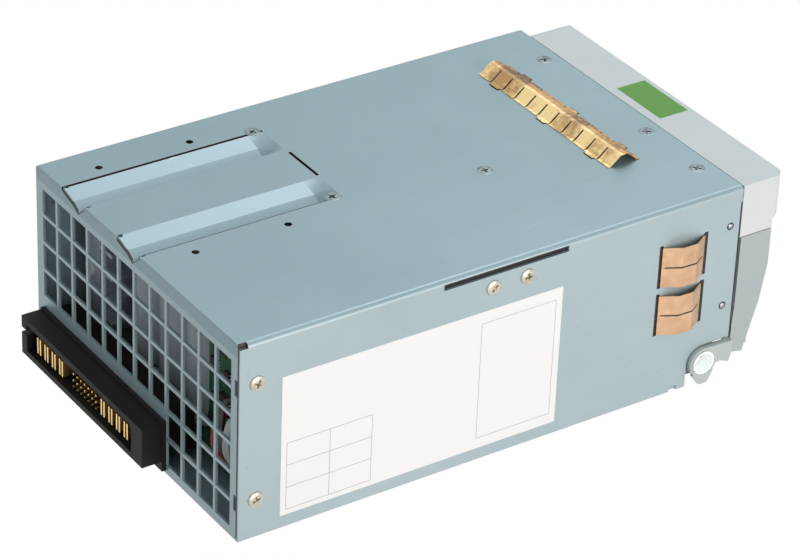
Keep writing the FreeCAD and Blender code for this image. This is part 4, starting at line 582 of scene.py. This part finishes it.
def as_mesh(name, shape, angle=35):
    """Turn a bmesh into a mesh that is smooth except across sharp edges."""
    bmesh.ops.recalc_face_normals(shape, faces=shape.faces)
    mesh = bpy.data.meshes.new(name)
    shape.to_mesh(mesh)
    shape.free()
    mesh.shade_smooth()
    mesh.set_sharp_from_angle(angle=math.radians(angle))
    return mesh


def solids(name):
    """The box of each separate solid of a CAD node, as lowest and highest corners."""
    shape = bmesh.new()
    shape.from_mesh(nodes[name].data)
    bmesh.ops.remove_doubles(shape, verts=shape.verts, dist=1e-6)
    seen, boxes = set(), []
    for first in shape.verts:
        if first in seen:
            continue
        seen.add(first)
        waiting, spots = [first], []
        while waiting:
            vertex = waiting.pop()
            spots.append(vertex.co.copy())
            fresh = [edge.other_vert(vertex) for edge in vertex.link_edges]
            fresh = [other for other in fresh if other not in seen]
            seen.update(fresh)
            waiting += fresh
        boxes.append((Vector(map(min, zip(*spots))), Vector(map(max, zip(*spots)))))
    shape.free()
    return boxes


def copies(name, pattern, places, material, body="chassis"):
    """One piece made of a pattern mesh laid at each place."""
    shape = bmesh.new()
    for place in places:
        single = pattern.copy()
        single.transform(place)
        shape.from_mesh(single)
        bpy.data.meshes.remove(single)
    made = bpy.data.objects.new(name, as_mesh(name, shape))
    made.data.materials.append(material)
    bpy.context.scene.collection.objects.link(made)
    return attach(made, body)


def stand_on(spot, outward, turn=0.0):
    """A placement whose Z points outward, turned about it."""
    aim = Vector(outward).to_track_quat("Z", "Y").to_matrix().to_4x4()
    return Matrix.Translation(spot) @ aim @ Matrix.Rotation(turn, 4, "Z")


print("side screws:", len(solids("side_screws")))

# %% [markdown]
# ## Cross-recessed screws
#
# A screw reads as a screw because of its recess: four slots that taper to a point. The recess is
# cut with a boolean from a tapered cross. One head is cut once and then copied, which is quick and
# keeps every screw crisp. The turn of each one differs, as nobody lines screws up.


# %% Cut one screw head
def cross_tool(width, reach, depth):
    """A tapered cross that points down from the top of a head."""
    tool = bmesh.new()
    for turn in (0.0, math.pi / 2):
        wide = Matrix.Rotation(turn, 4, "Z")
        corners = []
        for height, share in ((0.0003, 1.12), (-depth, 0.35)):
            for x, y in ((-reach, -width), (reach, -width), (reach, width), (-reach, width)):
                corners.append(tool.verts.new(wide @ Vector((x * share, y * (0.5 + share / 2), height))))
        for face in ((0, 1, 2, 3), (7, 6, 5, 4), (0, 4, 5, 1), (1, 5, 6, 2), (2, 6, 7, 3), (3, 7, 4, 0)):
            tool.faces.new([corners[index] for index in face])
    return as_mesh("cross_tool", tool)


def recessed(name, profile, top, width, reach, depth):
    """A turned head with a cross recess cut into its top."""
    head = bpy.data.objects.new(name, as_mesh(name, lathe(profile)))
    tool = bpy.data.objects.new("cross_tool", cross_tool(width, reach, depth))
    tool.location.z = top
    scene = bpy.context.scene.collection
    scene.objects.link(head)
    scene.objects.link(tool)
    cut = head.modifiers.new("recess", "BOOLEAN")
    cut.object = tool
    cut.solver = "EXACT"
    cut.use_self = True
    bpy.context.view_layer.update()
    mesh = bpy.data.meshes.new_from_object(head.evaluated_get(bpy.context.evaluated_depsgraph_get()))
    bpy.data.objects.remove(head)
    bpy.data.objects.remove(tool)
    return mesh


HEAD = 0.00098
FLAT_HEAD = [(1.4, -4.6), (1.45, -1.0), (2.0, -0.6), (2.72, -0.12), (2.76, -0.04), (2.7, 0.0), (2.3, 0.0),
             (2.22, -0.12), (2.08, -0.12), (2.0, 0.0), (1.2, 0.02)]
PAN_HEAD = [(1.4, -2.6), (1.4, 0.0), (2.72, 0.0), (2.78, 0.22), (2.62, 0.6), (2.1, 0.88), (1.2, 0.98)]
flat_head = recessed("flat_head", [(r * MM, z * MM) for r, z in FLAT_HEAD],
                     top=0.0, width=0.00038, reach=0.00155, depth=0.0012)
pan_head = recessed("pan_head", [(r * MM, z * MM) for r, z in PAN_HEAD],
                    top=HEAD, width=0.00038, reach=0.0016, depth=0.0012)
print("flat head faces", len(flat_head.polygons), "pan head faces", len(pan_head.polygons))


# %% [markdown]
# ## Screws of the cover and the sides
#
# The cover's flat screws sit flush in dished holes and have dulled to the colour of the sheet. The
# side's pan heads stand proud and their plating has yellowed. Each head goes to the outer end of its
# plain solid, turned a little differently from its neighbour.


# %% Screw finish and places
def screw_plate(name, light, stain, metallic=0.9):
    """Bright plating with turning marks, darker and yellower in patches."""
    finish = Finish(name, metallic=metallic)
    patch = finish.noise(420.0, 3.0, 0.6)
    finish.set(base_color=finish.mix((patch * 1.6 - 0.3).clipped(), stain, light),
               roughness=0.24 + patch * 0.2, normal=finish.bump(finish.noise(5200.0, 1.0), 0.00001))
    return finish.material


def faces_of(name, outward, sink=0.0):
    """A placement at the outer end of each solid of a node, along one outward direction."""
    aim = Vector(outward)
    spots = []
    for index, (low, high) in enumerate(solids(name)):
        middle = (low + high) / 2
        reach = Vector([abs(part) for part in aim]).dot(high - low) / 2
        spots.append(stand_on(middle + aim * (reach - sink), aim, 0.5 + 1.3 * index))
    return spots


plated = screw_plate("bright_plate", (0.66, 0.68, 0.67), (0.46, 0.47, 0.44))
dulled = screw_plate("dull_plate", (0.33, 0.40, 0.42), (0.12, 0.15, 0.16))
yellowed = screw_plate("yellow_plate", (0.74, 0.725, 0.64), (0.42, 0.39, 0.29))
cover_places = faces_of("cover_screws", (0, 0, 1))
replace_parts(copies("cover_screw_heads", flat_head, cover_places, dulled), "cover_screws")

side_places = []
for index, (low, high) in enumerate(solids("side_screws")):
    outward = 1 if low.x > 0 else -1
    x = high.x - HEAD if outward > 0 else low.x + HEAD
    spot = (x, (low.y + high.y) / 2, (low.z + high.z) / 2)
    side_places.append(stand_on(spot, (outward, 0, 0), 0.3 + 0.9 * index))
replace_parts(copies("side_screw_heads", pan_head, side_places, yellowed), "side_screws")
print("cover", len(solids("cover_screws")), "side", len(side_places))


# %% [markdown]
# ## Screws of the fan, the grip and the heat sink
#
# Coarse wide heads hold the fan and its guard, small ones the grip, and white nylon ones the heat
# sink, where metal would bridge the insulation. The grip's screws face inward and ride on the handle.


# %% Fan, grip and heat sink screws
def heads_out(name, low_side):
    """Placements for heads that stand at one end of each solid along Y."""
    places = []
    for index, (low, high) in enumerate(solids(name)):
        y = low.y + HEAD if low_side else high.y - HEAD
        aim = (0, -1, 0) if low_side else (0, 1, 0)
        places.append(stand_on(((low.x + high.x) / 2, y, (low.z + high.z) / 2), aim, 0.7 + 1.1 * index))
    return places


FAN_HEAD = [(1.9, -9.0), (1.95, 0.0), (3.6, 0.0), (3.68, 0.3), (3.4, 0.8), (2.6, 1.05), (1.2, 1.1)]
fan_head = recessed("fan_head", [(r * MM, z * MM) for r, z in FAN_HEAD],
                    top=0.0011, width=0.00042, reach=0.0019, depth=0.0014)
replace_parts(copies("fan_screw_heads", fan_head, heads_out("fan_screws", True), plated), "fan_screws")
nylon_heads = copies("sink_screw_heads", pan_head, heads_out("heat_sink_screws", False), nylon)
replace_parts(nylon_heads, "heat_sink_screws")

grip_places = []
for index, (low, high) in enumerate(solids("grip_screws")):
    inward = 1 if low.x < 0 else -1
    x = high.x - HEAD if inward > 0 else low.x + HEAD
    grip_places.append(stand_on((x, (low.y + high.y) / 2, (low.z + high.z) / 2), (inward, 0, 0), index))
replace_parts(copies("grip_screw_heads", pan_head, grip_places, plated, "handle"), "grip_screws")
print("fan", len(solids("fan_screws")), "grip", len(grip_places))

# %% [markdown]
# ## Rivets
#
# Two small pins on each side hold the front panel's folded edges. Each is a flange painted dark as
# shade in a shallow dimple, with a bright crown in its middle, so two turned shapes share one place.

# %% Domed rivets
RIVET = [(0.75, -1.0), (0.8, 0.0), (1.42, 0.0), (1.42, 0.06), (1.2, 0.12), (1.0, 0.04), (0.9, 0.04)]
CROWN_RISE = 0.0004
CROWN = [(0.8, 0.0), (0.98, 0.03), (0.96, 0.14), (0.78, 0.3), (0.45, 0.39), (0.1, 0.41)]
rivet = as_mesh("rivet", lathe([(r * MM, z * MM) for r, z in RIVET], 28), 50)
crown = as_mesh("crown", lathe([(r * MM, z * MM) for r, z in CROWN], 28), 50)
rivet_places = []
for low, high in solids("side_rivets"):
    outward = 1 if low.x > 0 else -1
    x = high.x - CROWN_RISE if outward > 0 else low.x + CROWN_RISE
    rivet_places.append(stand_on((x, (low.y + high.y) / 2, (low.z + high.z) / 2), (outward, 0, 0)))
# Painted shade: the rivet's flange is near-black for the shade of its dimple.
rivet_shade_plate = screw_plate("rivet_shade_plate", (0.05, 0.055, 0.06), (0.012, 0.014, 0.016), 0.2)
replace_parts(copies("side_rivet_heads", rivet, rivet_places, rivet_shade_plate), "side_rivets")
crown_plate = screw_plate("crown_plate", (0.62, 0.66, 0.67), (0.20, 0.22, 0.23))
copies("side_rivet_crowns", crown, rivet_places, crown_plate)
print("rivets", len(rivet_places))

# %% [markdown]
# ## Capacitors
#
# The capacitors are drawn cans in a shrunk sleeve. The sleeve rolls over the shoulder onto a sunk
# lid, and a groove runs round near the foot. The shape is turned.


# %% Cans with sleeves
def sleeve(name, light, dark, foot):
    """Shrunk plastic sleeve with faint level wrinkles, a gloss and painted shade towards its foot."""
    finish = Finish(name, coat_weight=0.3, coat_roughness=0.25)
    wrinkle = finish.noise(260.0, 3.0, 0.6, finish.stretch(1.0, 1.0, 0.2))
    # Painted shade: the sleeve grows lighter from its foot up over six centimetres.
    shade = (finish.axis(2) - foot) / 0.06
    finish.set(base_color=finish.mix((wrinkle * 0.5 + shade * 0.5).clipped(), dark, light),
               roughness=0.3 + wrinkle * 0.14, normal=finish.bump(wrinkle, 0.00004))
    return finish.material


def can_profile(radius, tall):
    """A can from foot to lid: groove, straight wall, rolled shoulder, rim and sunk lid."""
    foot = [(0.0009, 0.0), (0.0002, 0.0006), (0.0002, 0.003), (0.0009, 0.0038)]
    foot += [(0.0002, 0.0046), (0.0, 0.006)]
    top = [(0.0, 0.0014), (0.0004, 0.0004), (0.0012, 0.0), (0.0018, 0.0003), (0.0022, 0.0008)]
    wall = [(radius - inset, height) for inset, height in foot]
    wall += [(radius - inset, tall - drop) for inset, drop in top]
    return wall + [(0.0002, tall - 0.0006)]


def can_set(name, node, light, dark):
    """Detailed cans in place of the plain ones of a node."""
    boxes = solids(node)
    low, high = boxes[0]
    pattern = as_mesh(name + "_pattern", lathe(can_profile((high.x - low.x) / 2, high.z - low.z), 56))
    places = [Matrix.Translation(((l.x + h.x) / 2, (l.y + h.y) / 2, l.z)) for l, h in boxes]
    made = copies(name, pattern, places, sleeve(name + "_sleeve", light, dark, low.z))
    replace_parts(made, node)


can_set("output_cans", "output_capacitors", (0.80, 0.83, 0.85), (0.46, 0.50, 0.54))
can_set("bulk_cans", "bulk_capacitors", (0.17, 0.18, 0.22), (0.07, 0.075, 0.10))
print("cans", len(solids("output_capacitors")) + len(solids("bulk_capacitors")))

# %% [markdown]
# ## Wire
#
# Round wire is a curve with a bevel. The fan's guard is welded from it: three rings, two bars that
# cross at the hub, and an eye round each screw.


# %% Wires from lines of points
def wire(name, lines, radius, material, body="chassis", closed=False):
    """Round wire along one or more lines of points."""
    curve = bpy.data.curves.new(name, "CURVE")
    curve.dimensions = "3D"
    curve.bevel_depth = radius
    curve.bevel_resolution = 3
    curve.use_fill_caps = True
    for points in lines:
        spline = curve.splines.new("POLY")
        spline.points.add(len(points) - 1)
        for point, place in zip(spline.points, points):
            point.co = (*place, 1.0)
        spline.use_cyclic_u = closed
        spline.use_smooth = True
    curve.materials.append(material)
    made = bpy.data.objects.new(name, curve)
    bpy.context.scene.collection.objects.link(made)
    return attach(made, body)


def circle_line(centre, radius, steps):
    """Points round a circle that faces along Y."""
    turns = [math.tau * step / steps for step in range(steps)]
    return [centre + Vector((radius * math.cos(a), 0.0, radius * math.sin(a))) for a in turns]


chrome = Finish("bright_wire", metallic=0.95)
wear = chrome.noise(600.0, 3.0, 0.6)
chrome.set(base_color=chrome.mix(wear, (0.50, 0.52, 0.53), (0.70, 0.72, 0.73)),
           roughness=0.16 + wear * 0.16, normal=chrome.bump(wear, 0.00001))

low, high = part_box("fan_guard")
hub = (low + high) / 2
corners = [(l + h) / 2 for l, h in solids("fan_screws")]
WIRE = 0.0008
rings = [circle_line(hub, radius * MM, 72) for radius in (9.0, 18.0, 27.0)]
rings += [circle_line(Vector((spot.x, hub.y, spot.z)), 0.0031, 28) for spot in corners]
round_wires = wire("guard_rings", rings, WIRE, chrome.material, closed=True)
reach = max(spot.x for spot in corners) - hub.x - 0.0022
slants = [Vector((reach, 0, reach * sign)) for sign in (1, -1)]
wire("guard_bars", [[hub - slant, hub + slant] for slant in slants], WIRE, chrome.material)
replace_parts(round_wires, "fan_guard")
print("guard wires", len(rings) + len(slants))


# %% [markdown]
# ## Wound chokes
#
# Each choke is a ring core with one layer of enamelled copper. A winding is one long line that climbs
# round the ring while it goes round the ring's section, pushed outward to the corners so that it hugs
# the square core. One ring stands upright and the other lies flat on the board.


# %% Wind the chokes
def winding(centre, radius, half, thick, turns, start, sweep, upright):
    """A line of wire wound round a ring core of square section."""
    steps = 14
    line = []
    for step in range(turns * steps + 1):
        way = math.radians(start + sweep * step / (turns * steps))
        round_core = math.tau * step / steps
        flat = max(abs(math.cos(round_core)), abs(math.sin(round_core)))
        out = math.cos(round_core) / flat * 0.55 + math.cos(round_core) * 0.45
        side = math.sin(round_core) / flat * 0.55 + math.sin(round_core) * 0.45
        distance = radius + out * (half + thick)
        across = max(side * (half + thick), -half + thick) if not upright else side * (half + thick)
        if upright:
            line.append(centre + Vector((distance * math.cos(way), across, distance * math.sin(way))))
        else:
            line.append(centre + Vector((distance * math.cos(way), distance * math.sin(way), across)))
    return line


enamel = Finish("copper_enamel", metallic=0.8, coat_weight=0.5, coat_roughness=0.12)
varnish = enamel.noise(400.0, 3.0, 0.6)
enamel.set(base_color=enamel.mix(varnish, (0.28, 0.075, 0.02), (0.50, 0.17, 0.05)),
           roughness=0.22 + varnish * 0.12, normal=enamel.bump(varnish, 0.00001))
low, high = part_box("output_choke")
FINE_WIRE, STOUT_WIRE = 0.00055, 0.0006
output_turns = winding((low + high) / 2, radius=0.010, half=0.005, thick=FINE_WIRE, turns=26,
                       start=-60, sweep=300, upright=True)
wire("output_winding", [output_turns], FINE_WIRE, enamel.material)
low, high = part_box("boost_choke")
boost_turns = winding((low + high) / 2, radius=0.012, half=0.006, thick=STOUT_WIRE, turns=34,
                      start=20, sweep=320, upright=False)
wire("boost_winding", [boost_turns], STOUT_WIRE, enamel.material)
print("windings done")

# %% [markdown]
# ## Chip legs
#
# Each chip has a row of bright legs down either side. A leg is a small bent strip beside the chip's
# box, and a modifier gives the strips their thickness.

# %% Chip legs
legs = bmesh.new()
for low, high in solids("control_chips"):
    count = max(2, int((high.z - low.z) / 0.0011))
    for side, sign in ((low.x, -1), (high.x, 1)):
        for index in range(count):
            z = low.z + (index + 0.5) * (high.z - low.z) / count
            foot = [(side - sign * 0.0002, high.y - 0.0005), (side + sign * 0.0005, high.y - 0.0005),
                    (side + sign * 0.0006, low.y + 0.0001), (side + sign * 0.001, low.y + 0.0001)]
            tops = [legs.verts.new((x, y, z + 0.0002)) for x, y in foot]
            ends = [legs.verts.new((x, y, z - 0.0002)) for x, y in foot]
            for first in range(3):
                legs.faces.new((tops[first], tops[first + 1], ends[first + 1], ends[first]))
chip_legs = bpy.data.objects.new("chip_legs", as_mesh("chip_legs", legs))
thick_legs = chip_legs.modifiers.new("sheet", "SOLIDIFY")
thick_legs.thickness = 0.00015
chip_legs.data.materials.append(plated)
bpy.context.scene.collection.objects.link(chip_legs)
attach(chip_legs, "chassis")
print("leg faces", len(chip_legs.data.polygons))


# %% [markdown]
# ## Insulated leads
#
# Seen through the holes, a power stage is never tidy: three pairs of leads leave the transformer, loop
# towards the grille and dive to the board. A route is a handful of corners, and a quadratic curve
# between their middles rounds it as a stiff lead would.


# %% Insulated leads
def insulation(name, light, dark):
    """Glossy wire insulation."""
    finish = Finish(name, coat_weight=0.2, coat_roughness=0.3)
    tone = finish.noise(500.0, 2.0, 0.5)
    finish.set(base_color=finish.mix(tone, dark, light), roughness=0.34 + tone * 0.1,
               normal=finish.bump(tone, 0.00001))
    return finish.material


def smooth_line(corners, steps=10):
    """A rounded line through control corners, as a quadratic spline would draw it."""
    spots = [Vector(corner) for corner in corners]
    knots = [spots[0]] + [(a + b) / 2 for a, b in zip(spots[1:-1], spots[2:-1])] + [spots[-1]]
    line = []
    for index in range(len(knots) - 1):
        start, bend, end = knots[index], spots[index + 1], knots[index + 1]
        for step in range(steps):
            t = step / steps
            line.append(start * (1 - t) ** 2 + bend * 2 * t * (1 - t) + end * t * t)
    return line + [knots[-1]]


board_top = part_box("main_board")[1].z
front_of_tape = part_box("transformer_winding")[1].y
LEADS = (
    ("white_lead", (0.84, 0.85, 0.84), (0.74, 0.75, 0.74), -0.0520, 0.030, 0.0105),
    ("black_lead", (0.02, 0.02, 0.022), (0.012, 0.012, 0.014), -0.0475, 0.034, 0.0075),
    ("red_lead", (0.50, 0.03, 0.025), (0.36, 0.02, 0.018), -0.0445, 0.027, 0.0085),
)
for name, light, dark, x, rise, swing in LEADS:
    strands = []
    for strand in range(2):
        left, top = x + strand * 0.0021, board_top + rise - strand * 0.0018
        strands.append(smooth_line([
            (left, front_of_tape - 0.0005, top - 0.006), (left, front_of_tape + 0.005, top - 0.003),
            (left + 0.002, front_of_tape + 0.0115, top),
            (left + 0.004, front_of_tape + 0.0125, top - 0.012),
            (left + swing * 0.5, front_of_tape + 0.010, board_top + 0.008),
            (left + swing * 0.4, front_of_tape + 0.004, board_top)]))
    wire(name, strands, 0.001, insulation(name + "_pvc", light, dark))
print("leads", len(LEADS))

# %% [markdown]
# ## Clear light guides and blank badge
#
# Three short rods carry light from the board to the front. They are clear plastic, a little
# cloudy inside. The fan's hub carries a plain disc of film where a maker would print.

# %% Light guides and hub disc
guide = Finish("light_guide", transmission_weight=0.6, ior=1.49)
cloudy = guide.noise(300.0, 2.0, 0.5)
guide.set(base_color=guide.mix(cloudy, (0.62, 0.78, 0.64), (0.80, 0.88, 0.80)),
          roughness=0.18 + cloudy * 0.15, normal=guide.bump(cloudy, 0.00002))
dress(guide.material, "status_lights")
soften(0.0003, "status_lights")

hub_low, hub_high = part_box("fan_rotor")
SUNK = 0.00002
hub_face = ((hub_low.x + hub_high.x) / 2, hub_low.y + SUNK, (hub_low.z + hub_high.z) / 2)
disc_place = stand_on(hub_face, (0, -1, 0))
DISC = [(11.8, -0.2), (12.0, -0.1), (12.0, 0.0), (11.8, 0.08), (0.2, 0.08)]
disc = as_mesh("hub_disc_pattern", lathe([(r * MM, z * MM) for r, z in DISC], 56))
copies("hub_disc", disc, [disc_place], film.material, "fan_rotor")
dress(plated, "inlet_pins", "board_standoffs", "board_screws")
soften(0.0002, "inlet_pins")
print("front details done")

# %% [markdown]
# ## Camera
#
# The camera stands well back with a long lens, to the label side and the connector end, and looks
# down at about thirty degrees. It leans a little, so its up direction is given as well.

# %% Camera
EYE = Vector((-0.8474, 0.5826, 0.6631))
AHEAD = Vector((0.70067, -0.48635, -0.52204))
UP = Vector((0.45238, -0.26297, 0.85217))
LENS = 159.7
camera = bpy.data.objects.new("camera", bpy.data.cameras.new("camera"))
bpy.context.scene.collection.objects.link(camera)
side = AHEAD.cross(UP).normalized()
turned_axes = Matrix((side, side.cross(AHEAD), -AHEAD)).transposed().to_4x4()
camera.matrix_world = Matrix.Translation(EYE) @ turned_axes
camera.data.lens = LENS
camera.data.sensor_width = 36.0
camera.data.clip_start = 0.01
bpy.context.scene.camera = camera
print("camera", [round(v, 3) for v in camera.location])

# %% [markdown]
# ## Light
#
# A tent of white paper lights the object evenly from all round, a shade cool. One large warm softbox
# on the label side makes that side the brightest, and a small high one, beyond the front, shines on
# the sloping bands of the cover so that they stand out from the flat. The camera and the shiny
# surfaces see a pure white surround, which the world's Light Path switch keeps from adding light.


# %% World and softboxes
def white_for_eyes(tree, given):
    """1 for camera, glossy and transmission rays, else 0, linked to a socket."""
    paths = tree.nodes.new("ShaderNodeLightPath")
    total = None
    for name in ("Is Camera Ray", "Is Glossy Ray", "Is Transmission Ray"):
        if total is None:
            total = paths.outputs[name]
            continue
        adder = tree.nodes.new("ShaderNodeMath")
        adder.operation = "MAXIMUM"
        tree.links.new(total, adder.inputs[0])
        tree.links.new(paths.outputs[name], adder.inputs[1])
        total = adder.outputs[0]
    tree.links.new(total, given)


TENT = (0.78, 0.95, 1.0)
TENT_STRENGTH = 0.38
world = bpy.data.worlds.new("studio")
bpy.context.scene.world = world
world.use_nodes = True
tree = world.node_tree
tent = tree.nodes["Background"]
tent.inputs["Color"].default_value = (*TENT, 1.0)
tent.inputs["Strength"].default_value = TENT_STRENGTH
surround = tree.nodes.new("ShaderNodeBackground")
surround.inputs["Color"].default_value = (1.0, 1.0, 1.0, 1.0)
surround.inputs["Strength"].default_value = 1.0
choice = tree.nodes.new("ShaderNodeMixShader")
white_for_eyes(tree, choice.inputs[0])
tree.links.new(tent.outputs[0], choice.inputs[1])
tree.links.new(surround.outputs[0], choice.inputs[2])
tree.links.new(choice.outputs[0], tree.nodes["World Output"].inputs["Surface"])
bpy.context.scene.view_settings.view_transform = "Standard"


def soft_light(name, place, target, size, power, colour):
    """A square softbox that faces a point."""
    data = bpy.data.lights.new(name, "AREA")
    data.size = size
    data.energy = power
    data.color = colour
    lamp = bpy.data.objects.new(name, data)
    lamp.location = place
    lamp.rotation_euler = (Vector(target) - Vector(place)).to_track_quat("-Z", "Y").to_euler()
    bpy.context.scene.collection.objects.link(lamp)


soft_light("side_box", (-1.3, -0.05, 0.3), (0, 0, 0.04), size=0.9, power=12.6, colour=(1.0, 0.89, 0.85))
soft_light("high_box", (0.42, -0.62, 1.10), (0, 0.02, 0.07), size=0.6, power=4.8, colour=(1.0, 0.98, 0.98))
print("tent strength", TENT_STRENGTH)

# %% [markdown]
# ## Floor
#
# The floor is grey paper that only bounced light can meet. It fills the lower half of the sides as
# paper does, but it hides nothing: a handle that swings below the case's foot stays in view and lit.

# %% Floor
paper = bmesh.new()
bmesh.ops.create_grid(paper, x_segments=1, y_segments=1, size=6.0)
floor = bpy.data.objects.new("floor", as_mesh("floor", paper))
bpy.context.scene.collection.objects.link(floor)
floor_finish = Finish("floor_paper", base_color=(0.42, 0.42, 0.42), roughness=0.95)
floor_finish.set(alpha=floor_finish.node("ShaderNodeLightPath", {}, {}, "Is Diffuse Ray"))
floor.data.materials.append(floor_finish.material)
floor.location.z = cad_box[0][2]
print("floor at", round(floor.location.z, 5))
